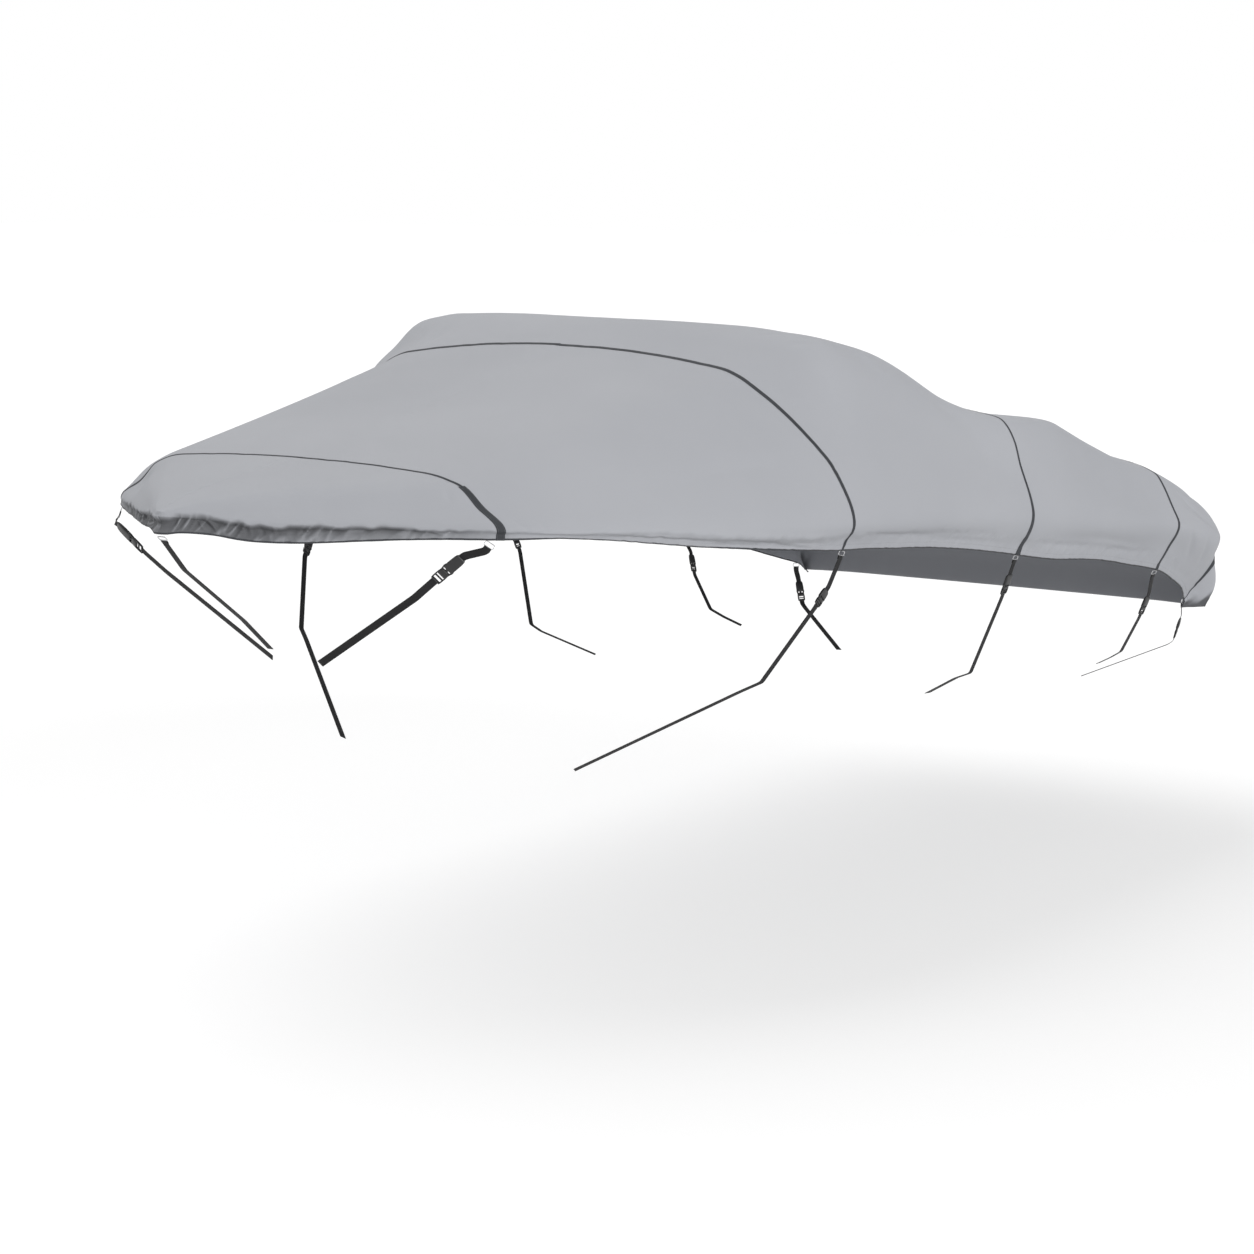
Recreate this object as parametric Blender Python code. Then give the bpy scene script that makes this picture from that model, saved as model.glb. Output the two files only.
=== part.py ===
"""Trailering cover for an open runabout, as it lies strapped down over the boat.

Metres, +Z up, bow towards -X, stern towards +X, port towards -Y. The boat itself is not built:
the cover is a hollow sewn shell, open below. The origin is on the centre plane at the underside
of the cloth's crest, where the boat's windshield holds the cover up.

The shell is one smooth surface. A row of the SECTIONS table is one arch from the crown down to
the hem, the rows run from the bow to the hem behind the transom, and both halves are alike.
"""
import bmesh
import bpy
import numpy as np

# ---------------------------------------------------------------- driving dimensions
CREST_AFT = 2.35         # the crest lies this far aft of the bow tip
CREST_HIGH = 2.06        # and its outer face this high above the ground the trailer stands on
CLOTH = 0.0025           # coated cloth with its seam allowance
HEM_CLOTH = 0.006        # the folded hem with its drawcord
HEM_TURN = 0.98          # from here to the hem a section is straight
GAP = 0.0003             # between pieces that touch
SEAM_SLIT = 0.0003       # half the slit between two panels, along the boat

SEAM_ROW = 0.014         # the first row of each panel lies this far from its seam
TAPE_LIFT = 0.0006       # tapes and bands lie this far above the panels they are sewn to
TAPE_THICK = 0.0012
TAPE_TAPER = 4           # a tape narrows with this power of its way down, so mostly near the hem
BAND_HALF = 0.0125       # the wide webbing over the lower end of seam 1
BAND_THICK = 0.0016
BAND_START = 0.60        # the band covers the section from here to the hem

WEB_WIDTH = 0.025        # strap webbing
WEB_THICK = 0.0018
RING_WIRE = 0.0030
RING_INSIDE = (0.029, 0.012)
RING_CORNER = 0.004      # radius of the wire's middle line at a ring's corners
RING_SIDES = 6
RING_LEAN = 0.6          # a ring turns this share of the way from square to its hem to its pull
SEWN = 0.014             # a strap is folded round its ring's bar and sewn this far from it
SEWN_GAP = 0.0002        # half the gap between the two layers there
BUCKLE = (0.036, 0.012)  # width and thickness of a side-release buckle
SLOT_DEPTH = 0.008
SLOT_GAP = 0.0005        # round the webbing in a buckle's slot
WEB_IN_SLOT = 0.006

# ---------------------------------------------------------------- the sections of the cover
# x is measured aft of the bow tip, heights above the ground, halves from the centre plane.
# The shoulder is where the top turns down, the edge is the boat's rubbing strake, and below it
# the cloth tucks in to the hem. swell is how far the side stands out between shoulder and edge.
#  name      x_top  top_z  shoulder  sh_z  swell x_edge  edge  edge_z  x_hem  hem   hem_z
SECTIONS = [
    ("tip",    0.000, 1.600, 0.020, 1.594, 0.000, 0.000, 0.032, 1.580, 0.000, 0.028, 1.522),
    ("",       0.030, 1.612, 0.055, 1.602, 0.002, 0.030, 0.072, 1.574, 0.030, 0.066, 1.530),
    ("",       0.080, 1.628, 0.100, 1.613, 0.004, 0.080, 0.130, 1.566, 0.080, 0.120, 1.527),
    ("",       0.150, 1.645, 0.175, 1.622, 0.005, 0.150, 0.220, 1.560, 0.150, 0.210, 1.506),
    ("",       0.250, 1.663, 0.275, 1.634, 0.006, 0.250, 0.342, 1.553, 0.250, 0.330, 1.498),
    ("",       0.360, 1.678, 0.385, 1.642, 0.006, 0.360, 0.472, 1.545, 0.360, 0.458, 1.502),
    ("",       0.500, 1.693, 0.525, 1.652, 0.004, 0.500, 0.640, 1.536, 0.500, 0.626, 1.507),
    ("seam 1", 0.640, 1.705, 0.638, 1.658, 0.002, 0.640, 0.797, 1.528, 0.640, 0.792, 1.502),
    ("",       0.800, 1.735, 0.660, 1.685, 0.012, 0.800, 0.903, 1.514, 0.800, 0.886, 1.498),
    ("",       1.000, 1.775, 0.700, 1.710, 0.022, 1.000, 0.990, 1.500, 1.000, 0.965, 1.476),
    ("",       1.250, 1.823, 0.740, 1.745, 0.033, 1.250, 1.075, 1.482, 1.250, 1.043, 1.440),
    ("",       1.500, 1.872, 0.775, 1.782, 0.040, 1.500, 1.135, 1.466, 1.500, 1.098, 1.407),
    ("",       1.750, 1.927, 0.812, 1.817, 0.044, 1.750, 1.178, 1.456, 1.750, 1.137, 1.379),
    ("seam 2", 2.000, 1.990, 0.850, 1.854, 0.045, 2.000, 1.208, 1.448, 2.000, 1.157, 1.357),
    ("",       2.120, 2.025, 0.842, 1.922, 0.046, 2.120, 1.212, 1.440, 2.120, 1.160, 1.349),
    ("",       2.230, 2.051, 0.840, 2.004, 0.045, 2.230, 1.214, 1.433, 2.230, 1.162, 1.338),
    ("crest",  2.350, 2.060, 0.842, 2.030, 0.042, 2.350, 1.215, 1.425, 2.350, 1.163, 1.327),
    ("",       2.480, 2.050, 0.855, 1.993, 0.038, 2.480, 1.215, 1.416, 2.480, 1.163, 1.316),
    ("",       2.640, 2.015, 0.875, 1.942, 0.034, 2.640, 1.215, 1.405, 2.640, 1.162, 1.297),
    ("",       2.820, 1.955, 0.900, 1.876, 0.030, 2.820, 1.214, 1.390, 2.820, 1.160, 1.273),
    ("",       3.000, 1.868, 0.960, 1.772, 0.024, 3.000, 1.212, 1.372, 2.995, 1.156, 1.246),
    ("seam 3", 3.200, 1.764, 1.068, 1.708, 0.016, 3.200, 1.209, 1.352, 3.185, 1.150, 1.214),
    ("",       3.350, 1.722, 1.080, 1.688, 0.015, 3.350, 1.210, 1.336, 3.335, 1.148, 1.188),
    ("",       3.520, 1.692, 1.068, 1.670, 0.015, 3.520, 1.210, 1.317, 3.505, 1.145, 1.164),
    ("",       3.700, 1.672, 1.040, 1.625, 0.015, 3.700, 1.210, 1.293, 3.685, 1.142, 1.146),
    ("",       3.880, 1.635, 1.040, 1.564, 0.015, 3.880, 1.210, 1.267, 3.865, 1.138, 1.122),
    ("",       4.100, 1.568, 1.065, 1.484, 0.014, 4.100, 1.209, 1.235, 4.080, 1.130, 1.082),
    ("seam 4", 4.360, 1.500, 1.100, 1.409, 0.012, 4.360, 1.206, 1.198, 4.335, 1.126, 1.034),
    ("",       4.600, 1.443, 1.095, 1.325, 0.012, 4.600, 1.192, 1.160, 4.550, 1.087, 0.967),
    ("",       4.800, 1.380, 1.058, 1.262, 0.017, 4.800, 1.157, 1.124, 4.715, 1.042, 0.916),
    ("",       4.960, 1.295, 0.985, 1.198, 0.018, 4.940, 1.106, 1.090, 4.850, 0.986, 0.870),
    ("",       5.070, 1.190, 0.905, 1.115, 0.010, 5.020, 1.055, 1.050, 4.935, 0.947, 0.842),
    ("seam 5", 5.125, 1.070, 0.870, 1.030, 0.000, 5.065, 1.020, 0.985, 4.975, 0.930, 0.828),
    ("",       5.150, 0.930, 0.900, 0.915, 0.000, 5.105, 1.012, 0.885, 4.995, 0.920, 0.808),
    ("bottom", 5.125, 0.790, 0.885, 0.786, 0.000, 5.090, 0.980, 0.785, 5.005, 0.905, 0.786),
]
TOP_REACH = 0.80         # a helper point on the top lies at this share of the shoulder's half
TOP_DROP = 0.40          # and this share of the fall from crown to shoulder below the crown
# where crown, top, shoulder, side, edge and hem come along a section, 0 at the crown, 1 at the hem
TURNS = np.array([0.0, 0.46, 0.58, 0.76, 0.92, 1.0])
# the columns of the solids' grid along half a section
COLUMNS = np.array([0.0, 0.12, 0.24, 0.35, 0.45, 0.53, 0.60, 0.67, 0.74, 0.80, 0.85, 0.89, 0.92,
                    0.955, 1.0])
FULL_ARCH = np.concatenate([-COLUMNS[:0:-1], COLUMNS])

# panel, its two seams and how many rows of the grid it has between them
PANELS = [
    ("panel_bow", "tip", "seam 1", 8),
    ("panel_fore", "seam 1", "seam 2", 11),
    ("panel_mid", "seam 2", "seam 3", 12),
    ("panel_aft", "seam 3", "seam 4", 10),
    ("panel_stern", "seam 4", "seam 5", 8),
    ("panel_transom", "seam 5", "bottom", 3),
]
# tape, its seam, half its width at the crown and at the hem
TAPES = [
    ("tape_1", "seam 1", 0.0055, 0.0055),
    ("tape_2", "seam 2", 0.0070, 0.0070),
    ("tape_3", "seam 3", 0.0060, 0.0060),
    ("tape_4", "seam 4", 0.0060, 0.0060),
    ("tape_transom", "seam 5", 0.0138, 0.0060),
]

# soft folds of the port side, mirrored on the other: from and to (x aft of the bow, place along
# the section), width across, and height, where a trough is negative
#         x      place  x      place  width  height
FOLDS = [
    (0.95, 0.945, 1.95, 0.965, 0.050, 0.006),
    (1.15, 0.780, 2.00, 0.765, 0.090, -0.006),
    (1.30, 0.985, 1.90, 0.990, 0.050, -0.007),
    (2.10, 0.965, 3.00, 0.970, 0.050, -0.006),
    (3.30, 0.960, 4.25, 0.965, 0.050, -0.008),
    (2.30, 0.480, 2.62, 0.640, 0.100, 0.006),
    (2.55, 0.560, 3.05, 0.660, 0.120, -0.010),
    (4.45, 0.700, 4.90, 0.900, 0.100, -0.008),
]
SECTION_LENGTH = 1.55    # of half an arch, to tell a fold's slant on the cloth

# straps: the seam at whose lower end the ring hangs and how far from it (or the hood's bottom
# corner), then the buckle's two ends and the bends of the tail (x aft of the bow, half, height)
STRAPS = {
    "1": ("seam 1", -0.030, [(0.545, 0.716, 1.452), (0.548, 0.610, 1.376), (0.560, 0.520, 1.313),
                             (0.600, 0.100, 1.064)]),
    "2": ("seam 2", 0.0, [(1.952, 1.124, 1.228), (1.914, 1.112, 1.183), (1.756, 1.000, 0.935),
                          (1.715, 0.940, 0.902), (1.400, 0.500, 0.641)]),
    "3": ("seam 3", 0.0, [(3.174, 1.128, 1.144), (3.178, 1.100, 1.072), (3.126, 1.000, 0.780),
                          (3.120, 0.945, 0.758), (3.230, 0.760, 0.668)]),
    "4": ("seam 4", 0.0, [(4.358, 1.081, 0.922), (4.346, 1.058, 0.853), (4.350, 0.975, 0.697),
                          (4.370, 0.920, 0.666), (4.400, 0.850, 0.632)]),
    "5": ("seam 5", -0.050, [(4.965, 0.925, 0.750), (4.957, 0.903, 0.668),
                             (4.948, 0.880, 0.640), (4.760, 0.585, 0.505)]),
}
BOW_STRAP = [(0.100, 0.0, 1.408), (0.355, 0.0, 1.225), (0.480, 0.0, 1.118)]

# ---------------------------------------------------------------- materials
FINISHES = {
    "cloth": ((0.42, 0.43, 0.46), 0.75, 0.0),
    "tape": ((0.075, 0.080, 0.090), 0.70, 0.0),
    "webbing": ((0.012, 0.012, 0.013), 0.65, 0.0),
    "plastic": ((0.015, 0.015, 0.016), 0.40, 0.0),
    "steel": ((0.55, 0.55, 0.56), 0.35, 1.0),
}


def make_finishes():
    """One Principled material for each finish."""
    made = {}
    for name, (colour, roughness, metallic) in FINISHES.items():
        material = bpy.data.materials.new(name)
        material.use_nodes = True
        shader = material.node_tree.nodes["Principled BSDF"]
        shader.inputs["Base Color"].default_value = (*colour, 1.0)
        shader.inputs["Roughness"].default_value = roughness
        shader.inputs["Metallic"].default_value = metallic
        made[name] = material
    return made


# ---------------------------------------------------------------- the surface
def slopes_at(rise, step):
    """Slopes at the places of a curve, from the rise over each step between them. Inside it is the
    harmonic mean of the two rises, or level where one goes up and the other down, so that the curve
    never swings past a point. At the two ends it is the rise beside them."""
    before, after = rise[:-1], rise[1:]
    turning = before * after <= 0
    safe_before, safe_after = np.where(turning, 1.0, before), np.where(turning, 1.0, after)
    weight_before, weight_after = 2 * step[1:] + step[:-1], step[1:] + 2 * step[:-1]
    mean = ((weight_before + weight_after)
            / (weight_before / safe_before + weight_after / safe_after))
    return np.concatenate([rise[:1], np.where(turning, 0.0, mean), rise[-1:]])


def cubic(start, end, slope_start, slope_end, width, part):
    """A point at this part of the cubic between two places, width apart, with these slopes."""
    return (start * (1 + 2 * part) * (1 - part) ** 2 + end * part ** 2 * (3 - 2 * part)
            + width * part * (1 - part) * (slope_start * (1 - part) - slope_end * part))


def flow(places, values, at):
    """A smooth curve through values at places, read at other places."""
    values = np.asarray(values, float)
    flat = values.reshape(len(places), -1)
    step = np.diff(places)[:, None]
    slope = slopes_at(np.diff(flat, axis=0) / step, step)
    at = np.atleast_1d(at)
    left = np.clip(np.searchsorted(places, at, side="right") - 1, 0, len(places) - 2)
    part = (at[:, None] - np.asarray(places)[left][:, None]) / step[left]
    curve = cubic(flat[left], flat[left + 1], slope[left], slope[left + 1], step[left], part)
    return curve.reshape((len(at),) + values.shape[1:])


def section_points(row):
    """Crown, top, shoulder, side, edge and hem of one section, on the starboard half."""
    (_, x_top, top_z, shoulder, shoulder_z, swell, x_edge, edge, edge_z, x_hem, hem, hem_z) = row
    fall = top_z - shoulder_z
    x_shoulder = 0.75 * x_top + 0.25 * x_edge
    chord = np.array([edge - shoulder, edge_z - shoulder_z])
    outward = np.array([-chord[1], chord[0]]) / np.hypot(*chord)
    side = np.array([(shoulder + edge) / 2, (shoulder_z + edge_z) / 2]) + swell * outward
    points = [
        (x_top, 0.0, top_z),
        (x_top, TOP_REACH * shoulder, top_z - TOP_DROP * fall),
        (x_shoulder, shoulder, shoulder_z),
        ((x_shoulder + x_edge) / 2, side[0], side[1]),
        (x_edge, edge, edge_z),
        (x_hem, hem, hem_z),
    ]
    return np.array(points) - np.array([CREST_AFT, 0.0, CREST_HIGH - CLOTH])


CONTROL = np.array([section_points(row) for row in SECTIONS])
steps = np.linalg.norm(np.diff(CONTROL[:, [0, 4]], axis=0), axis=2).mean(axis=1)
RUN = np.concatenate([[0.0], np.cumsum(steps)])      # place of each row along the cover
ROW_AT = {row[0]: place for row, place in zip(SECTIONS, RUN) if row[0]}
EDGE_X = CONTROL[:, 4, 0] + CREST_AFT


def smooth_surface(run, turn):
    """Points of the cover for every run (along the boat) and turn (0 crown to 1 hem, negative to
    port), without its folds. Each arch is a smooth curve through its six points, whose places are
    their distances along the arch, and through the mirrored one, so that the crown is level."""
    turn = np.asarray(turn, float)
    rows = flow(RUN, CONTROL, run)
    mirrored = rows[:, 1:2] * np.array([1.0, -1.0, 1.0])
    arch = np.concatenate([mirrored, rows], axis=1).transpose(1, 0, 2)
    step = np.linalg.norm(np.diff(arch, axis=0), axis=2, keepdims=True)
    slope = slopes_at(np.diff(arch, axis=0) / step, step)
    away = np.abs(turn)
    left = np.clip(np.searchsorted(TURNS, away, side="right") - 1, 0, len(TURNS) - 2)
    part = ((away - TURNS[left]) / (TURNS[left + 1] - TURNS[left]))[:, None, None]
    left = left + 1                                  # the mirrored point comes first
    points = cubic(arch[left], arch[left + 1], slope[left], slope[left + 1], step[left], part)
    points = points.transpose(1, 0, 2)
    points[..., 1] *= np.where(turn < 0, -1.0, 1.0)[None, :]
    return points


def outward_normals(run, turn):
    """Unit normals of the smooth surface, from its two slopes."""
    run, turn = np.atleast_1d(run), np.asarray(turn, float)
    small = 0.004                                    # the step of the slopes, in run and in turn
    low, high = np.clip(run - small, RUN[0], RUN[-1]), np.clip(run + small, RUN[0], RUN[-1])
    along = smooth_surface(high, turn) - smooth_surface(low, turn)
    inner = np.where(np.abs(turn) < small, -small, np.abs(turn) - small)
    outer = np.minimum(np.abs(turn) + small, 1.0)
    near = smooth_surface(run, outer) - np.where(
        (inner < 0)[None, :, None], smooth_surface(run, np.abs(inner)) * np.array([1.0, -1.0, 1.0]),
        smooth_surface(run, np.abs(inner)))
    near[..., 1] *= np.where(turn < 0, -1.0, 1.0)[None, :]
    near *= np.where(turn < 0, -1.0, 1.0)[None, :, None]
    normal = np.cross(along, near)
    return normal / np.linalg.norm(normal, axis=2, keepdims=True)


def fold_height(run, turn):
    """How far the folds lift the cloth: each is a smooth hill across its width, which fades out
    towards its two ends."""
    x = flow(RUN, EDGE_X, run)[:, None]
    down = SECTION_LENGTH * np.abs(np.asarray(turn, float))[None, :]
    height = np.zeros((len(x), down.shape[1]))
    for x_from, turn_from, x_to, turn_to, width, lift in FOLDS:
        start = np.array([x_from, SECTION_LENGTH * turn_from])
        way = np.array([x_to, SECTION_LENGTH * turn_to]) - start
        length = np.hypot(*way)
        way = way / length
        part = ((x - start[0]) * way[0] + (down - start[1]) * way[1]) / length
        aside = (x - start[0]) * way[1] - (down - start[1]) * way[0]
        fade = np.clip(part, 0.0, 1.0) * np.clip(1.0 - part, 0.0, 1.0) * 4.0
        height += lift * fade * np.exp(-(aside / (0.5 * width)) ** 2)
    return height


def cover(run, turn, lift=0.0):
    """Points of the cover's outer face with its folds, raised by lift along the normals."""
    normals = outward_normals(run, turn)
    height = fold_height(run, turn)[..., None] + lift
    return smooth_surface(run, turn) + normals * height


# ---------------------------------------------------------------- making objects
def add_object(name, verts, faces, material, smooth_angle=40.0):
    """A named object from points and faces, with its normals made to point out."""
    mesh = bpy.data.meshes.new(name)
    work = bmesh.new()
    made = [work.verts.new(tuple(v)) for v in verts]
    for face in faces:
        work.faces.new([made[i] for i in face])
    bmesh.ops.recalc_face_normals(work, faces=work.faces)
    work.to_mesh(mesh)
    work.free()
    mesh.materials.append(material)
    mesh.shade_smooth()
    mesh.set_sharp_from_angle(angle=np.radians(smooth_angle))
    thing = bpy.data.objects.new(name, mesh)
    bpy.context.collection.objects.link(thing)
    return thing


def slab_faces(rows, columns, cap_start=False):
    """Faces of a sheet with two sides: outer points first, then the inner ones, row by row. With
    cap_start the first row, an arch, is filled across instead of getting a rim. The cloth twists
    from row to row, so both sides are split along the same diagonals and never meet."""
    count = rows * columns
    faces = []
    for i in range(rows - 1):
        for j in range(columns - 1):
            a, b = i * columns + j, i * columns + j + 1
            c, d = b + columns, a + columns
            faces += [(a, b, c), (a, c, d)]
            faces += [(c + count, b + count, a + count), (d + count, c + count, a + count)]
    last = (rows - 1) * columns
    rims = [[i * columns for i in range(rows)], [i * columns + columns - 1 for i in range(rows)],
            [last + j for j in range(columns)]]
    if not cap_start:
        rims.append(list(range(columns)))
    for rim in rims:
        for p, q in zip(rim[:-1], rim[1:]):
            faces.append((p, q, q + count, p + count))
    if cap_start:
        half = columns // 2
        for side in (0, count):
            faces.append((side + half - 1, side + half, side + half + 1))
            for j in range(1, half):
                faces.append((side + half - j, side + half - j - 1,
                              side + half + j + 1, side + half + j))
        faces.append((0, columns - 1, columns - 1 + count, count))
    return faces


def panel_rows(start, end, count):
    """The rows of a panel: close to its two seams first, then evenly between."""
    first, last = ROW_AT[start], ROW_AT[end]
    inner = np.linspace(first, last, count + 2)[1:-1]
    rows = [first, *inner, last]
    if start != "tip":
        rows[0] = first + SEAM_SLIT
        rows.insert(1, first + SEAM_ROW)
    if end != "bottom":
        rows[-1] = last - SEAM_SLIT
        rows.insert(-1, last - SEAM_ROW)
    return np.array(rows)


def wall(turn):
    """How thick the cloth is along a section: thicker in the folded hem."""
    return np.where(np.abs(turn) > 0.99, HEM_CLOTH, CLOTH)


def make_panel(name, start, end, count, material):
    """One sewn panel: an arch of cloth from hem to hem."""
    run = panel_rows(start, end, count)
    outer = cover(run, FULL_ARCH)
    normals = outward_normals(run, FULL_ARCH)
    if start == "tip":
        normals[0, :, 0] -= 1.0
        normals[0] /= np.linalg.norm(normals[0], axis=1, keepdims=True)
    inner = outer - normals * wall(FULL_ARCH)[None, :, None]
    rows, columns = outer.shape[:2]
    verts = np.concatenate([outer.reshape(-1, 3), inner.reshape(-1, 3)])
    return add_object(name, verts, slab_faces(rows, columns, start == "tip"), material)


def beside_seam(seam, turn, side, offset):
    """Points on the panel fore (side -1) or aft (side 1) of a seam, at an offset from it, straight
    between the panel's first two rows as its faces are."""
    near = cover([ROW_AT[seam] + side * SEAM_SLIT], turn)[0]
    far = cover([ROW_AT[seam] + side * SEAM_ROW], turn)[0]
    share = (offset - SEAM_SLIT) / (SEAM_ROW - SEAM_SLIT)
    return near + (far - near) * share[:, None]


def make_tape(name, seam, turn, half_width, thick, material):
    """A tape sewn over a seam: it lies a hair above both panels and follows them to its ends."""
    normal = outward_normals([ROW_AT[seam]], turn)[0]
    slit = np.full(len(turn), SEAM_SLIT)
    fore = beside_seam(seam, turn, -1.0, half_width)
    aft = beside_seam(seam, turn, 1.0, half_width)
    middle = (beside_seam(seam, turn, -1.0, slit) + beside_seam(seam, turn, 1.0, slit)) / 2
    under = np.stack([fore, middle, aft]) + normal * TAPE_LIFT
    over = under + normal * thick
    verts = np.concatenate([over.reshape(-1, 3), under.reshape(-1, 3)])
    return add_object(name, verts, slab_faces(3, len(turn)), material)


def ribbon(name, path, across, width, thick, material):
    """Flat webbing along a path. across is the direction of its width, and its thickness is
    measured square to both."""
    path = np.array(path, float)
    legs = np.diff(path, axis=0)
    legs /= np.linalg.norm(legs, axis=1, keepdims=True)
    way = np.concatenate([legs[:1], legs[:-1] + legs[1:], legs[-1:]])
    way /= np.linalg.norm(way, axis=1, keepdims=True)
    across = np.broadcast_to(np.asarray(across, float), path.shape)
    across = across - way * np.sum(across * way, axis=1, keepdims=True)
    across = across / np.linalg.norm(across, axis=1, keepdims=True)
    face = np.cross(way, across)
    corners = [(-0.5, 0.5), (0.5, 0.5), (0.5, -0.5), (-0.5, -0.5)]
    rings = np.stack([path + across * width * w + face * thick * t for w, t in corners], axis=1)
    verts = rings.reshape(-1, 3)
    faces = [(0, 1, 2, 3), tuple(4 * (len(path) - 1) + k for k in (3, 2, 1, 0))]
    for i in range(len(path) - 1):
        for k in range(4):
            a, b = 4 * i + k, 4 * i + (k + 1) % 4
            if k < 2:                                # opposite sides share their diagonals
                faces += [(a, a + 4, b + 4), (a, b + 4, b)]
            else:
                faces += [(a, a + 4, b), (b, a + 4, b + 4)]
    return add_object(name, verts, faces, material, smooth_angle=30.0)


def place(point, side):
    """A point of the straps' table in the part's own frame; side is -1 to port, 1 to starboard."""
    x, half, z = point
    return np.array([x - CREST_AFT, side * half, z - CREST_HIGH + CLOTH])


def hem_seat(run, side):
    """Where a ring hangs: the middle of the hem's underside, the way the hem runs along the boat
    and the way the cloth runs down into it."""
    along = np.diff(cover([run - SEAM_ROW, run + SEAM_ROW], [side])[:, 0], axis=0)[0]
    down = np.diff(cover([run], [HEM_TURN * side, side])[0], axis=0)[0]
    middle = cover([run], [side])[0, 0] - outward_normals([run], [side])[0, 0] * HEM_CLOTH / 2
    return middle, along / np.linalg.norm(along), down / np.linalg.norm(down)


def bow_seat():
    """The same at the bow, under the small front wall of the nose."""
    hem = cover([RUN[0]], [1.0])[0, 0]
    middle = np.array([hem[0] + CLOTH / 2, 0.0, hem[2]])
    return middle, np.array([0.0, 1.0, 0.0]), np.array([0.0, 0.0, -1.0])


def make_ring(name, seat, target, material):
    """A flat wire ring, a rounded rectangle, hanging under the hem and leaning towards a target,
    so one rounded corner of it may reach higher than the other: its top stays a hair under the
    hem. Returns the middle of its lower bar and its three directions: down, across and out."""
    middle, along_hem, cloth_down = seat
    half_w, half_h = (RING_INSIDE[0] + RING_WIRE) / 2, (RING_INSIDE[1] + RING_WIRE) / 2
    top = middle + cloth_down * (RING_WIRE / 2 + GAP)
    pull = target - top
    square = pull - along_hem * (along_hem @ pull)
    square /= np.linalg.norm(square)
    lean = RING_LEAN * np.arctan2(pull @ along_hem, pull @ square)
    across = along_hem * np.cos(lean) - square * np.sin(lean)
    down = square * np.cos(lean) + along_hem * np.sin(lean)
    out = np.cross(down, across)
    reach_up = ((half_w - RING_CORNER) * abs(np.sin(lean))
                + (half_h - RING_CORNER) * np.cos(lean) + RING_CORNER)
    centre = top + square * reach_up
    outline = []
    for cx, cy, turn in ((1, -1, -90), (1, 1, 0), (-1, 1, 90), (-1, -1, 180)):
        for angle in np.radians([turn, turn + 45, turn + 90]):
            outward = np.array([np.cos(angle), np.sin(angle)])
            corner = np.array([cx * (half_w - RING_CORNER), cy * (half_h - RING_CORNER)])
            outline.append((corner + RING_CORNER * outward, outward))
    verts = []
    for reach, outward in outline:
        middle = centre + across * reach[0] + down * reach[1]
        away = across * outward[0] + down * outward[1]
        for k in range(RING_SIDES):
            angle = 2 * np.pi * k / RING_SIDES
            verts.append(middle + RING_WIRE / 2 * (away * np.cos(angle) + out * np.sin(angle)))
    faces = []
    count = len(outline)
    for i in range(count):
        here, there = i * RING_SIDES, (i + 1) % count * RING_SIDES
        for k in range(RING_SIDES):
            m = (k + 1) % RING_SIDES
            faces.append((here + k, there + k, there + m, here + m))
    add_object(name, verts, faces, material, smooth_angle=60.0)
    return centre + down * half_h, down, across, out


def eye_path(bar, down, out, target):
    """The way of a strap that is folded round a ring's bar and sewn to itself: up behind the bar,
    over it, and down in front, then on to its target. In front is the side that the target is
    on, so that the strap never passes through its own sewn end."""
    if (target - bar) @ out < 0:
        out = -out
    radius = RING_WIRE / 2 + WEB_THICK / 2 + GAP
    inner = WEB_THICK / 2 + SEWN_GAP
    near = 0.55 * SEWN
    path = [bar + down * SEWN - out * inner, bar + down * near - out * inner]
    for angle in np.radians([200, 150, 90, 30, -20]):
        path.append(bar + radius * (out * np.cos(angle) - down * np.sin(angle)))
    path += [bar + down * near + out * inner, bar + down * SEWN + out * inner]
    return path + [target]


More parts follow.
